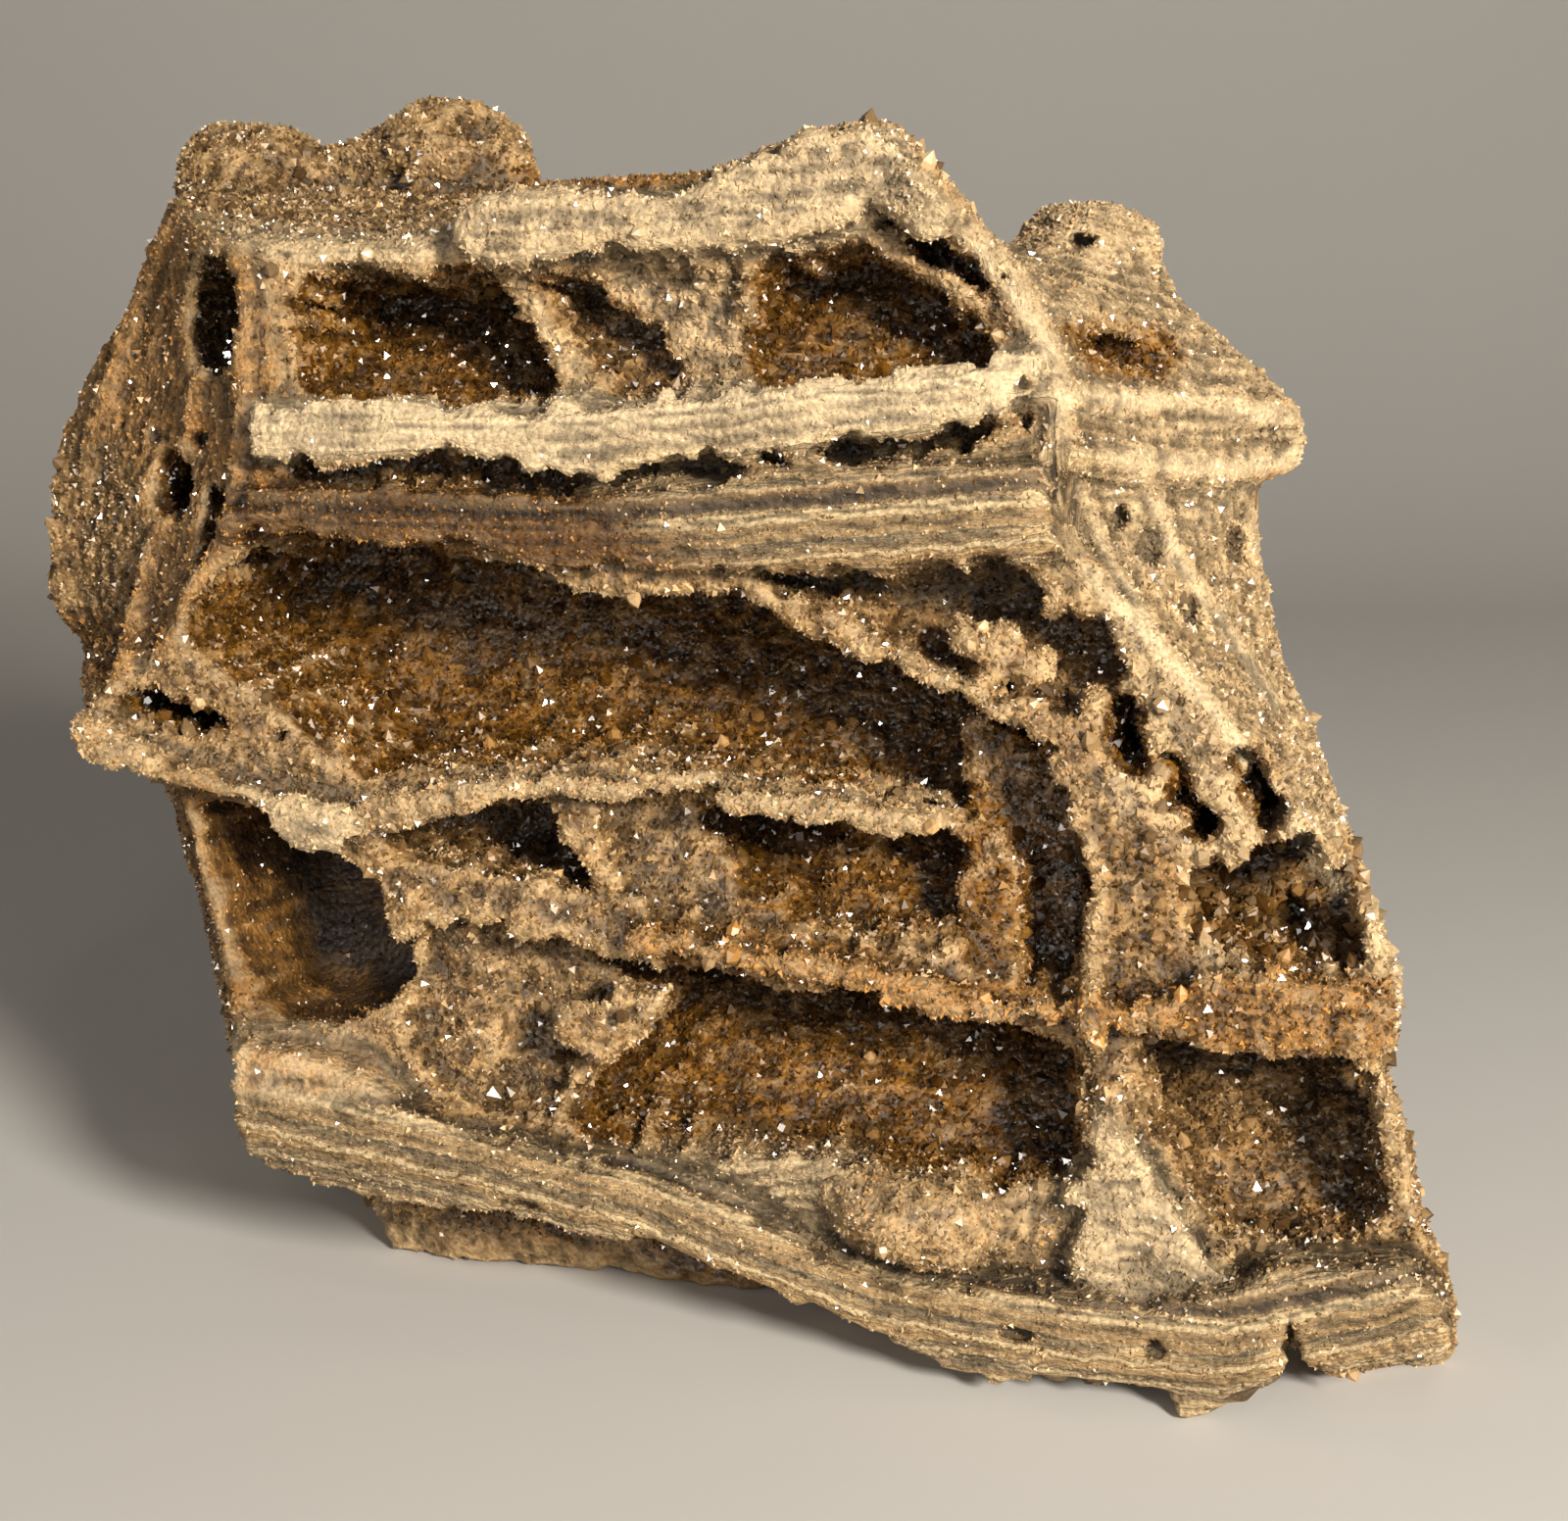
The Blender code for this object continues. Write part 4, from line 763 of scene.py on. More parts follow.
class Field:
    """Signed distances on a regular lattice, in the frame of the face."""

    def __init__(self, step):
        self.step = step
        self.axes = [np.arange(low, high, step, dtype=np.float32)
                     for low, high in zip(FIELD_LOW, FIELD_HIGH)]
        self.low = np.array([axis[0] for axis in self.axes])
        self.shape = tuple(len(axis) for axis in self.axes)
        self.values = np.zeros(self.shape, np.float32)

    def noise(self, rng, layers):
        """Smooth noise in layers, each given by its lumps' size and height."""
        return sum(height * noise_on_lattice(rng, self.shape, max(size / self.step, 1.0))
                   for size, height in layers)

    def block(self, low, high):
        """The slices of a box, and its coordinates ready to be combined."""
        slices = tuple(
            slice(max(int(np.searchsorted(axis, a)) - 1, 0),
                  min(int(np.searchsorted(axis, b)) + 1, len(axis)))
            for axis, a, b in zip(self.axes, low, high))
        return slices, *np.ix_(*(axis[part] for axis, part in zip(self.axes, slices)))

    def join(self, slices, solid, blend, cut=False):
        """Add a solid to a box of the field, or cut it out."""
        current = self.values[slices]
        if cut:
            self.values[slices] = soft_max(current, -solid, blend)
        else:
            self.values[slices] = soft_min(current, solid, blend)


def read_map(raster, x, y):
    """Read a distance map between its points."""
    u = np.clip((x - MAP_LOW[0]) / MAP_STEP, 0, raster.shape[0] - 1.001)
    v = np.clip((y - MAP_LOW[1]) / MAP_STEP, 0, raster.shape[1] - 1.001)
    i, j = u.astype(np.int32), v.astype(np.int32)
    a, b = (u - i).astype(np.float32), (v - j).astype(np.float32)
    return ((raster[i, j] * (1 - a) + raster[i + 1, j] * a) * (1 - b)
            + (raster[i, j + 1] * (1 - a) + raster[i + 1, j + 1] * a) * b)


def shrunk(outline, width, height):
    """An outline drawn in towards the middle of the back."""
    x0, y0 = BACK_CENTRE
    return [(x0 + (x - x0) * width, y0 + (y - y0) * height) for x, y in outline]


def refine(coarse, shape):
    """Spread a lattice of every second point over the whole lattice."""
    for axis, n in enumerate(shape):
        at = np.arange(n) / 2.0
        low = np.minimum(at.astype(int), coarse.shape[axis] - 2)
        coarse = spread(coarse, axis, low, (at - low).astype(np.float32))
    return coarse


def between(sections, behind):
    """Blend the fields of a row of sections by depth."""
    result = sections[0][1]
    for (near, near_values), (far, far_values) in zip(sections, sections[1:]):
        share = np.clip((behind - near) / (far - near), 0.0, 1.0)
        result = np.where(behind >= near, near_values * (1.0 - share) + far_values * share, result)
    return result


def envelope(field):
    """The block without its cells, worked out on every second point and then refined."""
    along, behind, up = np.ix_(*(axis[::2] for axis in field.axes))
    x, y = drawn(along, behind, up)
    outlines = [FRONT_OUTLINE] + [shrunk(REAR_OUTLINE, *sizes) for _, *sizes in BACK_SECTIONS]
    for front, back, _ in FLANKS:
        outlines += [front, back]
    grid = np.meshgrid(*(np.arange(low, high, MAP_STEP) for low, high in zip(MAP_LOW, MAP_HIGH)),
                       indexing="ij")
    read = [read_map(outline_distance(*grid, rounded(outline)), x, y) for outline in outlines]
    front = np.maximum(read[0], np.maximum(-behind, behind - FRONT_BODY_END))
    rear = between([(section[0], read[i + 1]) for i, section in enumerate(BACK_SECTIONS)], behind)
    ends = np.maximum(BACK_SECTIONS[0][0] - behind, behind - BACK_SECTIONS[-1][0])
    body = soft_min(front, soft_max(rear, ends, BACK_ROUND), BODY_BLEND)
    for i, (_, _, end) in enumerate(FLANKS):
        at = 1 + len(BACK_SECTIONS) + 2 * i
        share = np.clip((behind - FLANKS_START) / (end - FLANKS_START), 0.0, 1.0)
        flank = np.maximum(read[at] * (1.0 - share) + read[at + 1] * share, behind - end)
        body = soft_max(body, -flank, BODY_BLEND)
    return refine(body.astype(np.float32), field.shape)


def add_form(field, form, wander, seed, cut=False):
    """Join a straight form to the field or cut it out: sides that wander, a taper and a rounded end."""
    rng = np.random.default_rng([SEED, seed])
    outline = rounded(straight_outline(form.outline, max(form.near, 0.0)))
    broken = broken_edge(outline, form.ragged, rng)
    xs, ys = zip(*outline)
    slices, along, behind, up = field.block(
        (min(xs) - MARGIN, form.near - MARGIN, min(ys) - MARGIN),
        (max(xs) + MARGIN, form.far + MARGIN, max(ys) + MARGIN))
    wander = wander[slices]
    flat = outline_distance(*np.broadcast_arrays(along[:, 0, :], up[:, 0, :]), broken)[:, None, :]
    area = 0.5 * sum(x1 * y2 - x2 * y1 for (x1, y1), (x2, y2) in zip(outline, outline[1:] + outline[:1]))
    radius = math.sqrt(abs(area) / math.pi)
    share = np.clip((behind - form.near) / (form.far - form.near), 0.0, 1.0)
    sides = flat + (1.0 - form.taper) * radius * share ** 2 + wander - (CELL_GROWTH if cut else 0.0)
    height = smooth_step(min(ys), max(ys), up)
    end = behind - form.far + form.rise * (1.0 - height) + END_WANDER * wander
    solid = soft_max(sides, end, CELL_END_ROUND if cut else LEDGE_END_ROUND)
    front = form.near - behind
    if cut:
        field.join(slices, np.maximum(solid, front), CELL_BLEND, cut)
    else:
        solid = soft_max(solid, front + FRONT_WANDER * wander, LEDGE_FRONT_ROUND)
        field.join(slices, solid, LEDGE_BLEND)


def add_ball(field, centre, radii, blend, wander, cut=False):
    """Join or cut a stretched ball whose surface wanders."""
    reach = np.array(radii) + BALL_MARGIN
    slices, along, behind, up = field.block(centre - reach, centre + reach)
    size = np.sqrt(((along - centre[0]) / radii[0]) ** 2 + ((behind - centre[1]) / radii[1]) ** 2
                   + ((up - centre[2]) / radii[2]) ** 2)
    field.join(slices, (size - 1.0) * min(radii) + wander[slices], blend, cut)


def surface_spot(field, x, y):
    """Where the line of sight of a drawn point first meets the block, in the frame of the face."""
    for behind in np.arange(SIGHT_START, SIGHT_END, field.step):
        spot = on_face(place(x, y, behind))
        index = [int(round((spot[axis] - field.low[axis]) / field.step)) for axis in range(3)]
        if all(0 <= index[axis] < field.shape[axis] for axis in range(3)):
            if field.values[tuple(index)] < 0.0:
                return spot
    return None


def add_rib(field, rib):
    """Join a round rib that follows its drawn route over the surface."""
    spots = []
    for (x1, y1), (x2, y2) in zip(rib.route, rib.route[1:]):
        steps = max(1, round(math.hypot(x2 - x1, y2 - y1) / RIB_STEP))
        spots += [surface_spot(field, x1 + (x2 - x1) * i / steps, y1 + (y2 - y1) * i / steps)
                  for i in range(steps)]
    spots = [spot for spot in spots + [surface_spot(field, *rib.route[-1])] if spot is not None]
    for first, second in zip(spots, spots[1:]):
        run = second - first
        if np.linalg.norm(run) > RIB_GAP:
            continue
        margin = rib.radius + RIB_MARGIN
        slices, along, behind, up = field.block(np.minimum(first, second) - margin,
                                                np.maximum(first, second) + margin)
        share = np.clip(((along - first[0]) * run[0] + (behind - first[1]) * run[1]
                         + (up - first[2]) * run[2]) / max(run.dot(run), 1e-6), 0.0, 1.0)
        away = np.sqrt((along - first[0] - share * run[0]) ** 2 + (behind - first[1] - share * run[1]) ** 2
                       + (up - first[2] - share * run[2]) ** 2) - rib.radius
        field.join(slices, away, RIB_BLEND)


def build_field(step):
    """The whole block as a field: envelope, ledges, ribs, cells, plates, pits and swell."""
    rng = np.random.default_rng(SEED)
    field = Field(step)
    field.values = envelope(field)
    wander = field.noise(rng, WANDER)
    for index, form in enumerate(PROUD):
        add_form(field, form, LEDGE_WANDER * wander, LEDGE_SEEDS + index)
    for mound in OUTER_MOUNDS:
        add_ball(field, on_face(place(*mound.place)), mound.radii, OUTER_MOUND_BLEND, MOUND_WANDER * wander)
    for rib in RIBS:
        add_rib(field, rib)
    for index, form in enumerate(CELLS):
        add_form(field, form, wander, CELL_SEEDS + index, cut=True)
    for hollow in HOLLOWS:
        along, behind, up = hollow.place
        spot = on_face(FRONT_FOOT + ALONG * along + INTO * behind + np.array((0.0, 0.0, up)))
        add_ball(field, spot, hollow.radii, HOLLOW_BLEND, HOLLOW_WANDER * wander, cut=True)
    for index, form in enumerate(PLATES):
        add_form(field, form, LEDGE_WANDER * wander, PLATE_SEEDS + index)
    for mound in INNER_MOUNDS:
        add_ball(field, on_face(place(*mound.place)), mound.radii, INNER_MOUND_BLEND, MOUND_WANDER * wander)
    for pit in PITS:
        spot = surface_spot(field, *pit.place)
        if spot is not None:
            add_ball(field, spot, pit.radii, PIT_BLEND, PIT_WANDER * wander, cut=True)
    field.values += field.noise(rng, SWELL)
    height = (field.axes[2] * RISES[2])[None, None, :] + (field.axes[1] * RISES[1])[None, :, None]
    field.values = np.maximum(field.values, FLOOR_CLEARANCE - height)
    return field


def box_blur(values, reach):
    """Blur a lattice with a cube of twice the reach and one point."""
    for axis in range(3):
        padded = np.pad(values, [(reach + 1, reach) if i == axis else (0, 0) for i in range(3)], "edge")
        total = np.cumsum(padded, axis=axis, dtype=np.float64)
        n = values.shape[axis]
        upper = np.take(total, np.arange(2 * reach + 1, n + 2 * reach + 1), axis)
        lower = np.take(total, np.arange(0, n), axis)
        values = ((upper - lower) / (2 * reach + 1)).astype(np.float32)
    return values


def stone_share(field, spots, reach):
    """How much of the space round each spot is stone, within a reach."""
    step = 2 * field.step
    filled = np.clip(0.5 - field.values[::2, ::2, ::2] / step, 0.0, 1.0)
    size = max(1, round(reach / step / BLUR_SHARE))
    blurred = box_blur(box_blur(filled, size), size)
    index = np.clip(np.round((spots - field.low) / step).astype(int), 0, np.array(blurred.shape) - 1)
    return blurred[tuple(index.T)]


def skin_of(field):
    """The field's surface as points in the frame of the face, and quads."""
    grid = openvdb.FloatGrid(FIELD_LIMIT)
    grid.copyFromArray(np.clip(field.values, -FIELD_LIMIT, FIELD_LIMIT))
    points, quads = grid.convertToQuads(0.0)
    return points * field.step + field.low, quads


def paint(looks, weight, look):
    """Blend a look over the looks so far."""
    for name, value in look._asdict().items():
        looks[name] += weight * (value - looks[name])


def cover(looks, weight, form, x, y):
    """Blend a form's look, and the run of its bands if it has one, over the looks so far."""
    paint(looks, weight, form.look)
    if form.name in GUIDES:
        looks["band_at"] += weight * (guide_distance(x, y, GUIDES[form.name]) - looks["band_at"])


def patch_weight(patch, x, y, behind):
    """How much each spot belongs to a patch."""
    inside = smooth_step(patch.edge, -patch.edge, outline_distance(x, y, patch.outline))
    return (inside * smooth_step(patch.near - 1, patch.near + 1, behind)
            * smooth_step(patch.far + 2, patch.far, behind))


def form_weight(form, along, behind, up, near, far):
    """How much each spot belongs to a straight form, from its outline and its depth."""
    x, y = drawn(along, max(form.near, 0.0), up)
    xs, ys = zip(*form.outline)
    close = ((x > min(xs) - 3) & (x < max(xs) + 3) & (y > min(ys) - 3) & (y < max(ys) + 3)
             & (behind > near - 3) & (behind < far + 3))
    weight = np.zeros(len(x), np.float32)
    away = outline_distance(x[close], y[close], form.outline)
    deep = smooth_step(near - 1.0, near + 1.0, behind[close]) * smooth_step(far + 2.5, far, behind[close])
    weight[close] = smooth_step(FADE_START, FADE_END, away) * deep
    return weight


def looks_at(field, spots):
    """The look of the surface at each spot, with the run of its bands."""
    along, behind, up = spots.T
    x, y = drawn(along, behind, up)
    looks = {name: np.full(len(spots), value, np.float32) for name, value in SUGARY._asdict().items()}
    looks["band_at"] = guide_distance(x, y, ACROSS)
    looks["deep"] = smooth_step(*DEEP_SHARES, stone_share(field, spots, DEEP_REACH))
    # Deep places take the brown look: partly the hollows' own brown, partly painted shade.
    paint(looks, DEEP_BROWN_AND_SHADE * looks["deep"], BROWN)
    for patch in PATCHES:
        cover(looks, patch_weight(patch, x, y, behind), patch, x, y)
    for form in CELLS:
        weight = form_weight(form, along, behind, up, max(form.near, 0.6), form.far + 1.5)
        cover(looks, weight, form, x, y)
    for rib in RIBS:
        if rib.look is not None:
            away = np.abs(guide_distance(x, y, rib.route))
            cover(looks, smooth_step(rib.radius + 0.3, 0.3, away), rib, x, y)
    for form in PROUD + PLATES:
        weight = form_weight(form, along, behind, up, form.near - 2.0, min(form.far, form.near + 6.0))
        cover(looks, weight, form, x, y)
    for patch in OVERLAYS:
        cover(looks, patch_weight(patch, x, y, behind), patch, x, y)
    # Convex rims get a painted highlight, weaker where the stone is banded.
    rim_highlight = smooth_step(*EDGE_SHARES, stone_share(field, spots, EDGE_REACH))
    looks["edge"] = rim_highlight * (1.0 - 0.8 * looks["banded"])
    return looks


def ridges(band_at, roughness):
    """The relief of the growth bands: three waves of unlike length that run along them."""
    at = band_at + 0.5 * roughness
    wave = np.sin(at * 3.7 + 1.3 * np.sin(at * 0.9)) + 0.7 * np.sin(at * 7.9 + 0.8) + 0.5 * np.sin(at * 1.6)
    return wave / 2.2


def raise_relief(spots, normals, looks, rng):
    """Push the skin's points out and in: band ridges, crumbs of druse and fine grain."""
    warp, medium, small, fine = (noise_at(spots, size, rng) for size in RELIEF_GRAINS)
    medium, small = np.abs(medium), np.abs(small)
    crumbs = looks["druse"] * (0.7 - 0.9 * medium - 0.95 * small)
    rust = smooth_step(0.3, 0.9, looks["iron"]) * (0.5 - 1.1 * small)
    bands = BAND_RELIEF * looks["banded"] * ridges(looks["band_at"], warp)
    height = (bands + CRUMB_RELIEF * crumbs + RUST_RELIEF * rust
              + GRAIN_RELIEF * fine * (0.4 + looks["druse"]))
    return spots + normals * height[:, None]


def to_metres(spots):
    """Spots in the frame of the face, as metres from the middle of the footprint."""
    world = (FRONT_FOOT - FOOTPRINT_CENTRE + spots[:, :1] * ALONG + spots[:, 1:2] * INTO
             + spots[:, 2:] * UPWARD)
    return world * MM


def to_face(points):
    """Points in metres, as spots in the frame of the face."""
    away = points / MM + FOOTPRINT_CENTRE - FRONT_FOOT
    return np.stack((away @ ALONG, away @ INTO, away @ UPWARD), axis=1)


def mesh_from(name, points, faces):
    """A mesh from an array of points and an array of faces that all have as many corners."""
    mesh = bpy.data.meshes.new(name)
    mesh.vertices.add(len(points))
    mesh.vertices.foreach_set("co", points.astype(np.float32).ravel())
    mesh.loops.add(faces.size)
    mesh.loops.foreach_set("vertex_index", faces.astype(np.int32).ravel())
    mesh.polygons.add(len(faces))
    starts = np.arange(0, faces.size, faces.shape[1], dtype=np.int32)
    mesh.polygons.foreach_set("loop_start", starts)
    mesh.update(calc_edges=True)
    return mesh


def read(items, name, size=1, kind=np.float32):
    """One property of a mesh's points, edges, triangles or attribute, as an array."""
    values = np.empty(len(items) * size, kind)
    items.foreach_get(name, values)
    return values.reshape(-1, size) if size > 1 else values


def write_looks(mesh, looks, names):
    """Keep looks on a mesh as attributes of its points."""
    for name in names:
        attribute = mesh.attributes.new(name, "FLOAT", "POINT")
        attribute.data.foreach_set("value", looks[name].astype(np.float32))


def keep_largest(mesh):
    """Delete every part of a mesh that isn't joined to its largest part."""
    first, second = read(mesh.edges, "vertices", 2, np.int32).T
    label = np.arange(len(mesh.vertices))
    while True:
        lowest = np.minimum(label[first], label[second])
        spread = label.copy()
        np.minimum.at(spread, first, lowest)
        np.minimum.at(spread, second, lowest)
        spread = spread[spread[spread]]
        if (spread == label).all():
            break
        label = spread
    values, counts = np.unique(label, return_counts=True)
    loose = np.nonzero(label != values[counts.argmax()])[0]
    bm = bmesh.new()
    bm.from_mesh(mesh)
    bm.verts.ensure_lookup_table()
    bmesh.ops.delete(bm, geom=[bm.verts[i] for i in loose], context="VERTS")
    bm.to_mesh(mesh)
    bm.free()


def mean_of_neighbours(values, edges):
    """The mean of a value over the points that each point shares an edge with."""
    total, count = np.zeros_like(values), np.zeros(len(values))
    for here, there in (edges.T, edges.T[::-1]):
        np.add.at(total, here, values[there])
        np.add.at(count, here, 1.0)
    return total / np.maximum(count, 1.0).reshape([-1] + [1] * (values.ndim - 1))


def creases(mesh):
    """How hollow the mesh is at each point, from -1 on a crest to 1 in a crease."""
    points = read(mesh.vertices, "co", 3) / MM
    edges = read(mesh.edges, "vertices", 2, np.int32)
    depth = ((mean_of_neighbours(points, edges) - points) * read(mesh.vertices, "normal", 3)).sum(axis=1)
    depth = (1.0 - CREASE_SPREAD) * depth + CREASE_SPREAD * mean_of_neighbours(depth, edges)
    return np.clip(depth / CREASE_DEPTH, -1.0, 1.0)


def add_object(name, data):
    """Put a mesh, a light or a camera into the scene."""
    obj = bpy.data.objects.new(name, data)
    bpy.context.scene.collection.objects.link(obj)
    return obj


def fewer_faces(obj, faces):
    """Collapse an object's edges down to a number of triangles."""
    modifier = obj.modifiers.new("Fewer faces", "DECIMATE")
    # The skin is all quads, and each quad is two triangles.
    modifier.ratio = min(1.0, faces / (2.0 * len(obj.data.polygons)))
    modifier.use_collapse_triangulate = True
    bpy.context.view_layer.update()
    evaluated = obj.evaluated_get(bpy.context.evaluated_depsgraph_get())
    mesh = bpy.data.meshes.new_from_object(evaluated)
    obj.modifiers.clear()
    old = obj.data
    obj.data = mesh
    bpy.data.meshes.remove(old)


def build_stone(settings):
    """The block's mesh, with the look of each of its points kept as attributes."""
    field = build_field(settings.step / MM)
    spots, quads = skin_of(field)
    draft = mesh_from("stone_draft", to_metres(spots), quads)
    # Normals are turned into the frame of the face as places a millimetre from the foot.
    normals = to_face(read(draft.vertices, "normal", 3) * MM + to_metres(np.zeros((1, 3)))[0])
    raised = raise_relief(spots, normals, looks_at(field, spots), np.random.default_rng(SEED + 1))
    # What the relief pushes through the floor goes back up to it.
    raised += np.maximum(-raised @ RISES, 0.0)[:, None] * RISES
    draft.vertices.foreach_set("co", to_metres(raised).astype(np.float32).ravel())
    stone = add_object("stone_block", draft)
    fewer_faces(stone, settings.faces)
    keep_largest(stone.data)
    looks = looks_at(field, to_face(read(stone.data.vertices, "co", 3)))
    # The curvature steers painted shade in creases and a painted highlight on crests.
    looks["crease"] = creases(stone.data)
    write_looks(stone.data, looks, STONE_LOOKS)
    stone.data.shade_smooth()
    return stone


def sample_stone(stone, wanted, rng):
    """Loose places on the stone where crystals grow, with their normals and looks."""
    mesh = stone.data
    mesh.calc_loop_triangles()
    corners = read(mesh.loop_triangles, "vertices", 3, np.int32)
    points = read(mesh.vertices, "co", 3)
    looks = {name: read(mesh.attributes[name].data, "value") for name in STONE_LOOKS}
    a, b, c = (points[corners[:, i]] for i in range(3))
    cross = np.cross(b - a, c - a)
    area = np.linalg.norm(cross, axis=1)
    middle = (a + b + c) / 3.0
    seen = 1.0 - BACK_THINNING * smooth_step(BACK_START, BACK_FULL, to_face(middle)[:, 1])
    under = smooth_step(BARE_BELOW, GROWN_ABOVE, middle[:, 2])
    coarse = looks["coarse"][corners].mean(axis=1)
    density = looks["druse"][corners].mean(axis=1) * seen * under / coarse ** SIZE_THINNING
    weight = np.cumsum(area * density)
    chosen = np.searchsorted(weight, rng.uniform(0.0, weight[-1], wanted))
    u, v = rng.random(wanted), rng.random(wanted)
    u, v = np.where(u + v > 1.0, 1.0 - u, u), np.where(u + v > 1.0, 1.0 - v, v)
    mix = np.stack((1.0 - u - v, u, v), axis=1)
    at = (points[corners[chosen]] * mix[:, :, None]).sum(axis=1)
    normal = cross[chosen] / area[chosen][:, None]
    found = {name: (values[corners[chosen]] * mix).sum(axis=1) for name, values in looks.items()}
    return at, normal, found


def crystal_ring(at, normal, radius, sides, rng):
    """The axes of crystals, each leaning a little at random, and the corners of a ring round each."""
    lean = normal + LEAN * rng.normal(size=at.shape)
    axis = lean / np.linalg.norm(lean, axis=1)[:, None]
    helper = np.where(np.abs(axis[:, 2:3]) > 0.9, np.array((1.0, 0.0, 0.0)), np.array((0.0, 0.0, 1.0)))
    right = np.cross(axis, helper)
    right /= np.linalg.norm(right, axis=1)[:, None]
    ahead = np.cross(axis, right)
    turn = rng.uniform(0.0, 2.0 * math.pi, len(at))
    ring = []
    for side in range(sides):
        angle = turn + side * 2.0 * math.pi / sides
        out = np.cos(angle)[:, None] * right + np.sin(angle)[:, None] * ahead
        ring.append(out * radius[:, None])
    return axis, ring


def crystal_faces(kind):
    """The triangles of one closed crystal: its sunk base, its sides and its point."""
    sides = kind.sides
    top = sides if kind.shoulder else 0
    faces = [(0, i + 1, i) for i in range(1, sides - 1)]
    for i in range(sides):
        j = (i + 1) % sides
        if kind.shoulder:
            faces += [(i, j, top + j), (i, top + j, top + i)]
        faces.append((top + i, top + j, top + sides))
    return faces


def grow_crystals(name, kind, at, normal, looks, radius, rng):
    """A mesh of crystals of one kind that carries the looks of the stone below over to it."""
    height = radius * rng.uniform(kind.low, kind.high, len(at))
    axis, ring = crystal_ring(at, normal, radius, kind.sides, rng)
    base = at - axis * (kind.sunk * radius)[:, None]
    points = [base + out for out in ring]
    if kind.shoulder:
        shoulder = at + axis * (kind.shoulder * height)[:, None]
        points += [shoulder + out for out in ring]
    points.append(at + axis * (height + kind.point * radius)[:, None])
    starts = len(points) * np.arange(len(at))[:, None]
    faces = np.concatenate([starts + np.array(corners) for corners in crystal_faces(kind)])
    mesh = mesh_from(name, np.stack(points, axis=1).reshape(-1, 3), faces)
    looks = dict(looks, tint=rng.random(len(at)))
    write_looks(mesh, {key: np.repeat(values, len(points)) for key, values in looks.items()}, CRYSTAL_LOOKS)
    mesh.shade_flat()
    return mesh


def crust_of(at):
    """The crust that each crystal belongs to: a hollow's, the face's, the right flank's or the back's."""
    along, behind, up = to_face(at).T
    x, y = drawn(along, 0.0, up)
    face = len(CRUSTS)
    owner = np.full(len(at), face)
    for index, (_, outline, far) in enumerate(CRUSTS):
        inside = (outline_distance(x, y, outline) < CRUST_MARGIN) & (behind > CRUST_START) & (behind < far)
        owner[inside & (owner == face)] = index
    rest = owner == face
    owner[rest & (drawn(along, behind, up)[0] > RIGHT_START)] = face + 1
    owner[rest & (behind > BACK_START)] = face + 2
    return owner


def join_meshes(name, meshes):
    """One mesh from several, with their attributes."""
    bm = bmesh.new()
    for mesh in meshes:
        bm.from_mesh(mesh)
        bpy.data.meshes.remove(mesh)
    joined = bpy.data.meshes.new(name)
    bm.to_mesh(joined)
    bm.free()
    joined.shade_flat()
    return joined


class Nodes:
    """Short ways to add and link the nodes of one tree."""

    def __init__(self, tree):
        self.tree = tree
        self.looks = {}

    def fill(self, node, inputs):
        """Link or set inputs of a node; a plain colour gets its opacity."""
        for name, value in inputs.items():
            socket = node.inputs[name]
            if isinstance(value, bpy.types.NodeSocket):
                self.tree.links.new(value, socket)
            elif socket.type == "RGBA":
                socket.default_value = (*value[:3], 1.0)
            else:
                socket.default_value = value
        return node

    def add(self, kind, inputs=(), **settings):
        """A new node with its settings and inputs."""
        node = self.tree.nodes.new(kind)
        for name, value in settings.items():
            setattr(node, name, value)
        return self.fill(node, dict(inputs))

    def math(self, operation, first, second=0.0, clamp=False):
        return self.add("ShaderNodeMath", {0: first, 1: second}, operation=operation,
                        use_clamp=clamp).outputs[0]

    def plus(self, first, second, clamp=False):
        return self.math("ADD", first, second, clamp)

    def less(self, first, second, clamp=False):
        return self.math("SUBTRACT", first, second, clamp)

    def times(self, first, second):
        return self.math("MULTIPLY", first, second)

    def mix(self, share, first, second, blend="MIX"):
        return self.add("ShaderNodeMix", {0: share, 6: first, 7: second}, data_type="RGBA",
                        blend_type=blend).outputs[2]

    def step(self, value, low, high, to_low=0.0, to_high=1.0):
        """A smooth step of a value between two limits."""
        return self.add("ShaderNodeMapRange", {
            "Value": value, "From Min": low, "From Max": high, "To Min": to_low, "To Max": to_high,
        }, interpolation_type="SMOOTHSTEP").outputs[0]

    def look(self, name):
        """A look that is kept on the mesh."""
        if name not in self.looks:
            self.looks[name] = self.add("ShaderNodeAttribute", attribute_name=name,
                                        attribute_type="GEOMETRY").outputs["Fac"]
        return self.looks[name]

    def noise(self, place, scale, detail, roughness, **settings):
        """Noise at a place; one number as the place needs noise_dimensions set to 1D."""
        key = "W" if settings else "Vector"
        return self.add("ShaderNodeTexNoise", {
            key: place, "Scale": scale, "Detail": detail, "Roughness": roughness,
        }, **settings).outputs["Fac"]

    def shaded(self, colour, shade, deep, crest, crease):
        """A colour times a tone from its grain, with painted shade deep in hollows and in creases and a
        painted highlight on crests.
        """
        # Painted shade deep in hollows, from the share of stone round each point.
        shade = self.times(shade, self.step(self.look("deep"), 0.0, 1.0, 1.0, deep))
        # Painted highlight on crests and painted shade in creases, from the mesh's curvature.
        shade = self.times(shade, self.step(self.look("crease"), -0.9, 0.9, crest, crease))
        grey = self.add("ShaderNodeCombineColor", {"Red": shade, "Green": shade, "Blue": shade})
        return self.mix(1.0, colour, grey.outputs[0], "MULTIPLY")


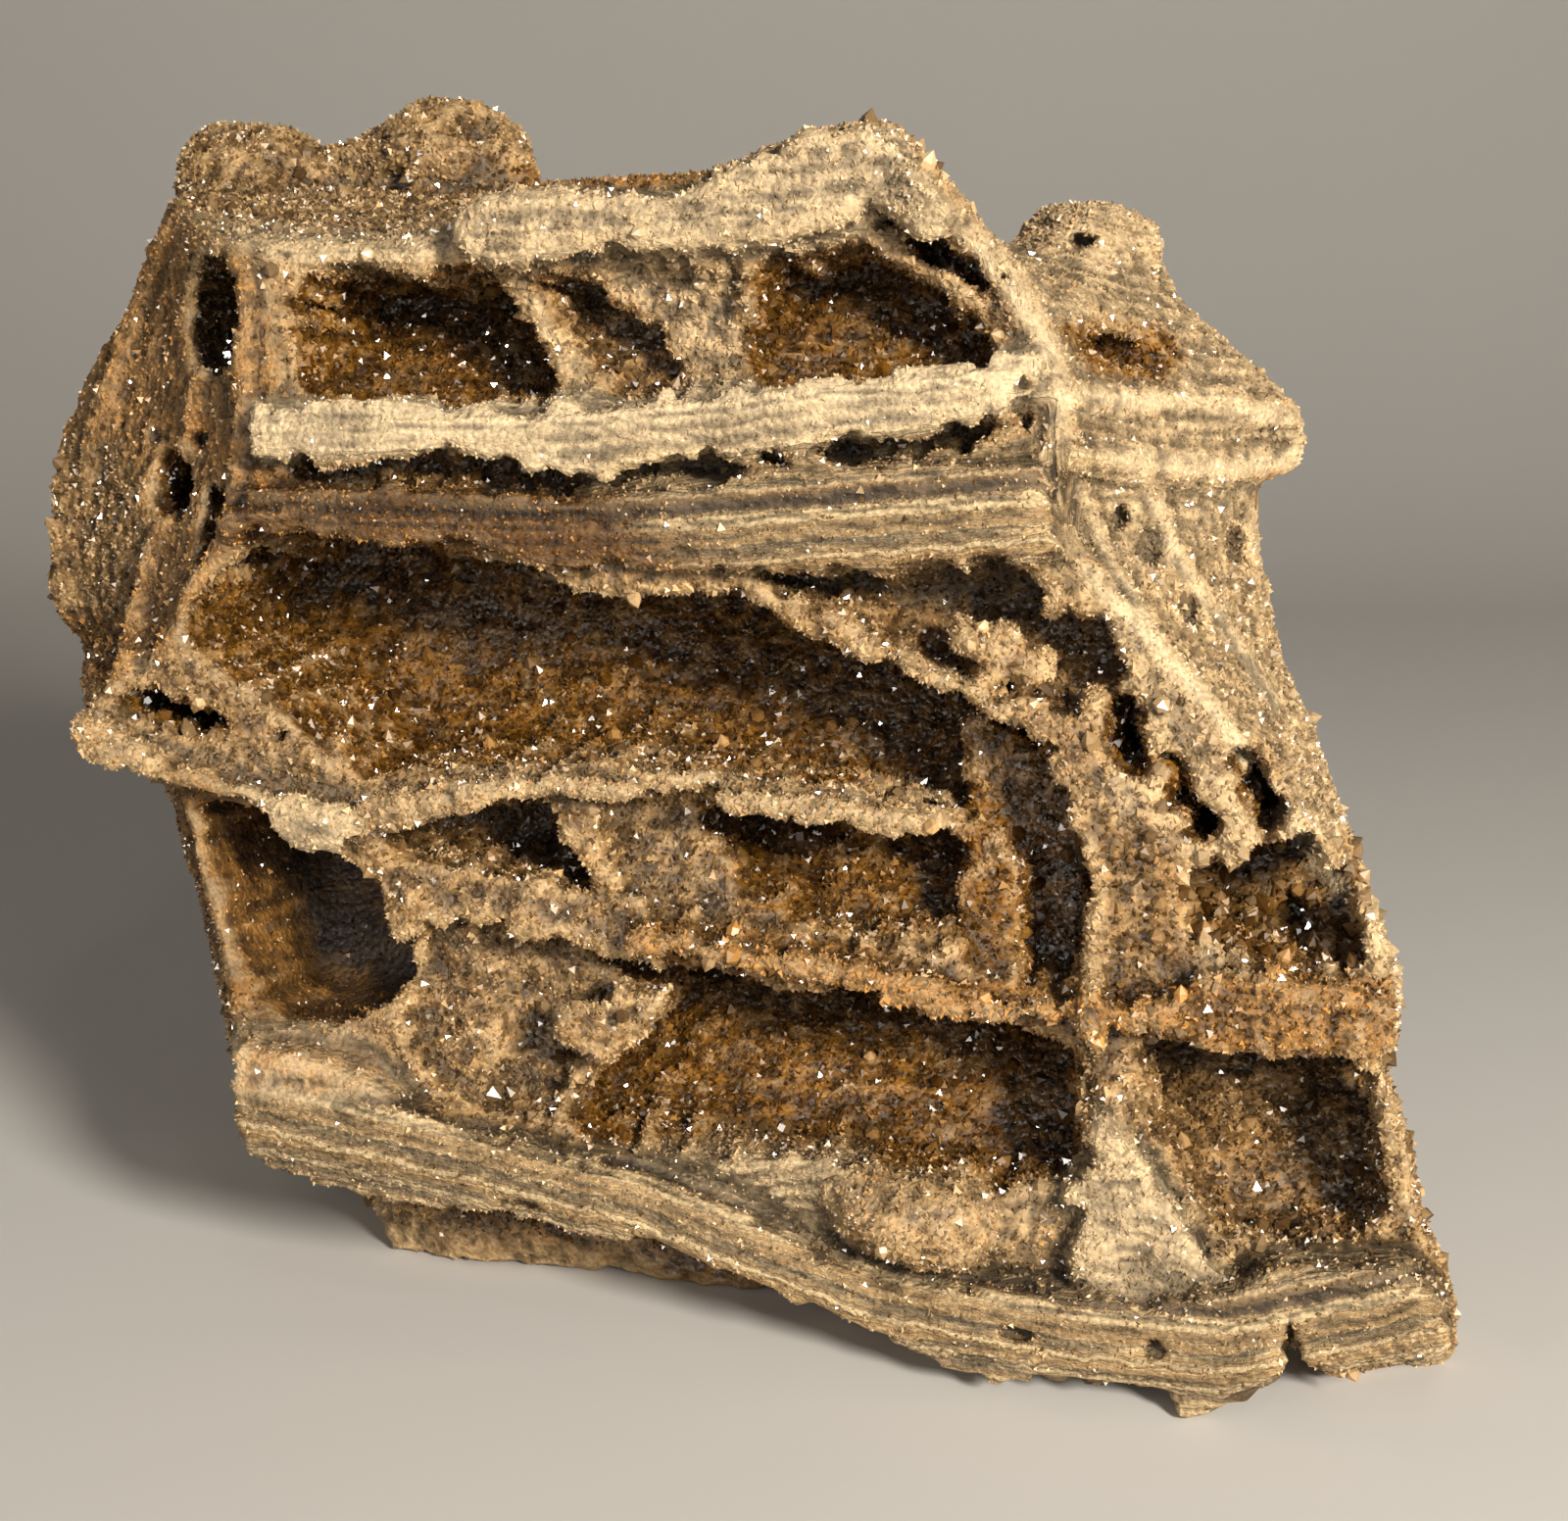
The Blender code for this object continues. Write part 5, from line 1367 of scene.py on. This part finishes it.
def new_group(name, inputs, outputs):
    """A shader node group with its sockets, given by their names and kinds."""
    tree = bpy.data.node_groups.new(name, "ShaderNodeTree")
    for way, sockets in (("INPUT", inputs), ("OUTPUT", outputs)):
        for socket, kind in sockets.items():
            tree.interface.new_socket(socket, in_out=way, socket_type="NodeSocket" + kind)
    nodes = Nodes(tree)
    return tree, nodes, nodes.add("NodeGroupInput").outputs


def build_grain_group():
    """Sugary grain: fine and coarse mottling, and the height of both."""
    tree, nodes, given = new_group(
        "Sugary grain", {"Scale": "Float"}, {"Fine": "Float", "Coarse": "Float", "Height": "Float"})
    place = nodes.add("ShaderNodeTexCoord").outputs["Object"]
    fine = nodes.noise(place, nodes.times(given["Scale"], FINE_SCALE), 2.0, 0.55)
    coarse = nodes.noise(place, nodes.times(given["Scale"], COARSE_SCALE), 6.0, 0.68)
    cells = nodes.add("ShaderNodeTexVoronoi", {
        "Vector": place, "Scale": nodes.times(given["Scale"], CELL_SCALE),
    }).outputs["Distance"]
    height = nodes.plus(nodes.times(fine, 0.5), nodes.less(0.6, cells))
    nodes.add("NodeGroupOutput", {"Fine": fine, "Coarse": coarse, "Height": height})
    return tree


def build_band_group():
    """Growth bands: their colour and height from the distance across them."""
    tree, nodes, given = new_group(
        "Growth bands", {"Distance": "Float", "Wander": "Float"}, {"Color": "Color", "Height": "Float"})
    at = nodes.plus(given["Distance"], nodes.times(given["Wander"], 2.3))
    wide = nodes.noise(at, 0.3, 2.0, 0.6, noise_dimensions="1D")
    fine = nodes.noise(at, 1.5, 3.0, 0.65, noise_dimensions="1D")
    both = nodes.plus(nodes.times(wide, 1.15), nodes.times(fine, 0.35))
    both = nodes.less(both, 0.25, clamp=True)
    ramp = nodes.add("ShaderNodeValToRGB", {"Fac": both})
    stops = ramp.color_ramp.elements
    last = len(BAND_COLOURS) - 1
    stops[0].position, stops[1].position = BAND_START, BAND_START + last * BAND_SPAN
    for index in range(1, last):
        stops.new(BAND_START + index * BAND_SPAN)
    for stop, colour in zip(stops, BAND_COLOURS):
        stop.color = (*colour, 1.0)
    nodes.add("NodeGroupOutput", {"Color": ramp.outputs["Color"], "Height": both})
    return tree


def new_material(name):
    """A material, its nodes and its shader."""
    material = bpy.data.materials.new(name)
    material.use_nodes = True
    return material, Nodes(material.node_tree), material.node_tree.nodes["Principled BSDF"]


def build_stone_material(settings, grain_group, band_group):
    """Silicified wood: sugary beige, cream ledges, grey and brown bands, rust, brown in the hollows, with
    painted shade in hollows and creases and painted highlights on crests and rims.
    """
    material, nodes, shader = new_material("Silicified wood")
    look, mix, times = nodes.look, nodes.mix, nodes.times
    grain = nodes.add("ShaderNodeGroup", {"Scale": 1.0}, node_tree=grain_group)
    fine, coarse = grain.outputs["Fine"], grain.outputs["Coarse"]
    bands = nodes.add("ShaderNodeGroup", {"Distance": look("band_at"), "Wander": coarse},
                      node_tree=band_group)
    mottle = nodes.step(coarse, 0.34, 0.66)
    sugar = mix(mottle, SUGAR_DARK, SUGAR_COLOUR)
    colour = mix(look("brown"), sugar, mix(mottle, settings.brown, BROWN_LIGHT))
    umber = mix(look("brown"), bands.outputs["Color"], BAND_UMBER, "MULTIPLY")
    colour = mix(times(look("banded"), 0.88), colour, umber)
    pale = times(look("cream"), nodes.step(coarse, 0.25, 0.6, 0.55, 1.0))
    colour = mix(pale, colour, settings.cream)
    # Painted highlight on convex rims.
    colour = mix(times(look("edge"), 0.4), colour, RIM_HIGHLIGHT_COLOUR)
    rust = nodes.step(nodes.plus(look("iron"), nodes.less(coarse, 0.5)), 0.38, 0.85)
    colour = mix(times(rust, 0.85), colour, mix(fine, RUST_DARK, settings.rust))
    height = nodes.plus(times(grain.outputs["Height"], GRAIN_HEIGHT),
                        times(times(bands.outputs["Height"], look("banded")), BAND_HEIGHT))
    bump = nodes.add("ShaderNodeBump", {"Height": height, "Strength": 1.0, "Distance": 1.0})
    nodes.fill(shader, {
        # Grain tone, painted shade deep in hollows (0.85) and in creases (0.42), and a painted highlight on
        # crests (1.25).
        "Base Color": nodes.shaded(colour, nodes.step(fine, 0.25, 0.75, 0.68, 1.15), 0.85, 1.25, 0.42),
        "Roughness": nodes.less(nodes.step(fine, 0.3, 0.7, 0.5, 0.85), times(look("druse"), 0.2)),
        "Normal": bump.outputs["Normal"],
        "Specular IOR Level": STONE_SHINE,
    })
    return material


def build_druse_material(settings, grain_group):
    """Quartz druse: glossy little facets, brown in the hollows and sugary on the plates, with painted shade
    in hollows and creases and painted highlights on crests and rims.
    """
    material, nodes, shader = new_material("Quartz druse")
    look, mix, times = nodes.look, nodes.mix, nodes.times
    grain = nodes.add("ShaderNodeGroup", {"Scale": 0.6}, node_tree=grain_group)
    clear = nodes.math("POWER", look("tint"), 1.5)
    share = nodes.plus(look("brown"), times(nodes.less(look("tint"), 0.5), -0.35), clamp=True)
    colour = mix(share, mix(clear, SUGAR_DARK, DRUSE_PALE), mix(clear, settings.brown, DRUSE_BROWN))
    colour = mix(times(look("cream"), 0.8), colour, settings.cream)
    # Painted highlight on convex rims.
    colour = mix(times(look("edge"), 0.3), colour, RIM_HIGHLIGHT_COLOUR)
    rust = nodes.step(nodes.plus(look("iron"), times(nodes.less(look("tint"), 0.6), 0.9)), 0.45, 0.8)
    colour = mix(times(rust, 0.8), colour, settings.rust)
    shade = nodes.step(grain.outputs["Coarse"], 0.2, 0.8, 0.75, 1.15)
    nodes.fill(shader, {
        # Grain tone, painted shade deep in hollows (0.9) and in creases (0.48), and a painted highlight on
        # crests (1.2).
        "Base Color": nodes.shaded(colour, shade, 0.9, 1.2, 0.48),
        "Roughness": nodes.step(look("tint"), 0.1, 0.9, 0.07, 0.3),
        "IOR": QUARTZ_IOR,
        "Specular IOR Level": DRUSE_SHINE,
    })
    return material


def build_backdrop(settings):
    """A pale floor that bends up into a wall far behind the piece."""
    profile = [(FLOOR_START, 0.0), (FLOOR_END, 0.0)]
    for i in range(1, BEND_STEPS + 1):
        angle = i / BEND_STEPS * math.pi / 2
        profile.append((FLOOR_END + BEND_RADIUS * math.sin(angle), BEND_RADIUS * (1.0 - math.cos(angle))))
    profile.append((FLOOR_END + BEND_RADIUS, WALL_TOP))
    count = len(profile)
    points = np.array([(side, y, z) for side in (-FLOOR_SIDE, FLOOR_SIDE) for y, z in profile])
    faces = np.array([(i, count + i, count + i + 1, i + 1) for i in range(count - 1)])
    backdrop = add_object("backdrop", mesh_from("backdrop", points, faces))
    backdrop.data.shade_smooth()
    material, nodes, shader = new_material("Pale backdrop")
    nodes.fill(shader, {"Base Color": settings.floor, "Roughness": 0.9})
    backdrop.data.materials.append(material)


def build_light(name, lamp, power):
    """A round soft light that is turned to the piece."""
    light = bpy.data.lights.new(name, "AREA")
    light.shape = "DISK"
    light.size = lamp.size
    light.energy = power
    light.color = lamp.colour
    obj = add_object(name, light)
    obj.location = lamp.place
    obj.rotation_euler = (Vector(LIGHT_TARGET) - Vector(lamp.place)).to_track_quat("-Z", "Y").to_euler()
    return obj


def build_camera():
    """The camera at the station point that the forms are drawn from."""
    data = bpy.data.cameras.new("Camera")
    data.sensor_width = SENSOR_WIDTH
    data.lens = SENSOR_WIDTH * PICTURE_DISTANCE / (2 * PICTURE_CENTRE[0])
    data.clip_start = CLIP_START
    camera = add_object("Camera", data)
    camera.location = Vector((EYE - FOOTPRINT_CENTRE) * MM)
    camera.rotation_euler = (math.radians(90.0) - EYE_PITCH, 0.0, 0.0)
    bpy.context.scene.camera = camera


class StoneSettings(bpy.types.PropertyGroup):
    step: FloatProperty(
        name="Field step", description="Distance between the points of the field", default=0.0005,
        min=0.0003, max=0.002, unit="LENGTH")
    quick_step: FloatProperty(
        name="Quick field step", description="The field step of a quick look", default=0.001,
        min=0.0005, max=0.003, unit="LENGTH")
    faces: IntProperty(
        name="Triangles", description="How many triangles the block keeps", default=190000, min=20000,
        max=198000)
    cream: FloatVectorProperty(
        name="Cream", description="Colour of the pale silica on the ledges", subtype="COLOR", size=3,
        default=(0.60, 0.465, 0.285), min=0.0, max=1.0)
    brown: FloatVectorProperty(
        name="Brown", description="Colour of the hollows' walls", subtype="COLOR", size=3,
        default=(0.060, 0.023, 0.003), min=0.0, max=1.0)
    rust: FloatVectorProperty(
        name="Rust", description="Colour of the iron stains", subtype="COLOR", size=3,
        default=(0.46, 0.215, 0.045), min=0.0, max=1.0)


class DruseSettings(bpy.types.PropertyGroup):
    points: IntProperty(
        name="Crystals", description="How many small crystals grow on the block", default=180000,
        min=1000, max=190000)
    radius: FloatProperty(
        name="Crystal radius", description="Middle radius of a small crystal", default=0.00034,
        min=0.0001, max=0.002, unit="LENGTH")
    spread: FloatProperty(
        name="Size spread", description="How unlike in size the crystals are", default=0.27, min=0.0,
        max=1.0, subtype="FACTOR")


class StageSettings(bpy.types.PropertyGroup):
    key: FloatProperty(
        name="Key light", description="Power of the light from the upper right", default=9.8, min=0.0,
        unit="POWER")
    fill: FloatProperty(
        name="Fill light", description="Power of the light from the left", default=0.6, min=0.0,
        unit="POWER")
    sparkle: FloatProperty(
        name="Sparkle lights", description="Power of each small light that glints on the crystals",
        default=5.0, min=0.0, unit="POWER")
    sky: FloatProperty(name="Sky", description="Strength of the even light", default=0.075, min=0.0)
    floor: FloatVectorProperty(
        name="Floor", description="Colour of the floor and wall", subtype="COLOR", size=3,
        default=(0.62, 0.60, 0.57), min=0.0, max=1.0)


def dress(obj, material):
    """Give a piece its material and its slot, and let it ride on the root."""
    obj.data.materials.append(material)
    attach(obj, "root")


class PETRIFIED_OT_stone(bpy.types.Operator):
    """Build the block of silicified wood with its ledges and open cells"""
    bl_idname = "petrified.stone"
    bl_label = "Stone block"

    def execute(self, context):
        stone = build_stone(context.scene.petrified_stone)
        groups = build_grain_group(), build_band_group()
        dress(stone, build_stone_material(context.scene.petrified_stone, *groups))
        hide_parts("petrified_wood")
        return {"FINISHED"}


class PETRIFIED_OT_druse(bpy.types.Operator):
    """Grow the quartz crystals in the hollows and on the face, flanks and back"""
    bl_idname = "petrified.druse"
    bl_label = "Quartz druse"

    def execute(self, context):
        stone = bpy.data.objects.get("stone_block")
        if stone is None:
            raise RuntimeError("The stone block has to be built before its druse")
        settings = context.scene.petrified_druse
        rng = np.random.default_rng(SEED + 2)
        material = build_druse_material(context.scene.petrified_stone, bpy.data.node_groups["Sugary grain"])
        at, normal, looks = sample_stone(stone, settings.points, rng)
        owner = crust_of(at)
        radius = settings.radius * looks["coarse"] * np.exp(settings.spread * rng.normal(size=len(at)))
        radius = np.clip(radius, SMALLEST_CRYSTAL, LARGEST_CRYSTAL)
        names = [name for name, _, _ in CRUSTS] + ["druse_face", "druse_right_flank", "druse_back"]
        large = radius > PRISM_RADIUS
        for index, name in enumerate(names):
            meshes = []
            for kind, fit in ((POINTS, ~large), (PRISMS, large)):
                chosen = (owner == index) & fit
                if chosen.any():
                    here = {key: values[chosen] for key, values in looks.items()}
                    meshes.append(grow_crystals(
                        name, kind, at[chosen], normal[chosen], here, radius[chosen], rng))
            crust = add_object("crystals_of_" + name, join_meshes(name, meshes))
            dress(crust, material)
            if index < len(CRUSTS):
                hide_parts(name)
        return {"FINISHED"}


class PETRIFIED_OT_stage(bpy.types.Operator):
    """Set up the pale backdrop, the soft lights and the camera"""
    bl_idname = "petrified.stage"
    bl_label = "Stage"

    def execute(self, context):
        settings = context.scene.petrified_stage
        build_backdrop(settings)
        build_light("Key light", KEY_LAMP, settings.key)
        build_light("Fill light", FILL_LAMP, settings.fill)
        for index, lamp in enumerate(SPARKLE_LAMPS):
            light = build_light("Sparkle light %d" % (index + 1), lamp, settings.sparkle)
            light.visible_diffuse = False
        world = bpy.data.worlds.new("Soft sky")
        world.use_nodes = True
        Nodes(world.node_tree).fill(
            world.node_tree.nodes["Background"], {"Color": SKY_COLOUR, "Strength": settings.sky})
        context.scene.world = world
        context.scene.view_settings.view_transform = "Standard"
        build_camera()
        return {"FINISHED"}


class PETRIFIED_PT_panel(bpy.types.Panel):
    """The piece's settings and the buttons that build it"""
    bl_idname = "PETRIFIED_PT_panel"
    bl_label = "Petrified Wood"
    bl_space_type = "VIEW_3D"
    bl_region_type = "UI"
    bl_category = "Petrified Wood"

    def draw(self, context):
        scene = context.scene
        for settings, operator in (
                (scene.petrified_stone, "petrified.stone"), (scene.petrified_druse, "petrified.druse"),
                (scene.petrified_stage, "petrified.stage")):
            box = self.layout.box()
            for name in settings.__annotations__:
                box.prop(settings, name)
            box.operator(operator)


CLASSES = (
    StoneSettings, DruseSettings, StageSettings, PETRIFIED_OT_stone, PETRIFIED_OT_druse,
    PETRIFIED_OT_stage, PETRIFIED_PT_panel,
)


def register():
    for cls in CLASSES:
        bpy.utils.register_class(cls)
    bpy.types.Scene.petrified_stone = PointerProperty(type=StoneSettings)
    bpy.types.Scene.petrified_druse = PointerProperty(type=DruseSettings)
    bpy.types.Scene.petrified_stage = PointerProperty(type=StageSettings)


def unregister():
    del bpy.types.Scene.petrified_stage
    del bpy.types.Scene.petrified_druse
    del bpy.types.Scene.petrified_stone
    for cls in reversed(CLASSES):
        bpy.utils.unregister_class(cls)


def main():
    register()
    bpy.ops.petrified.stone()
    bpy.ops.petrified.druse()
    bpy.ops.petrified.stage()


if __name__ == "__main__":
    main()
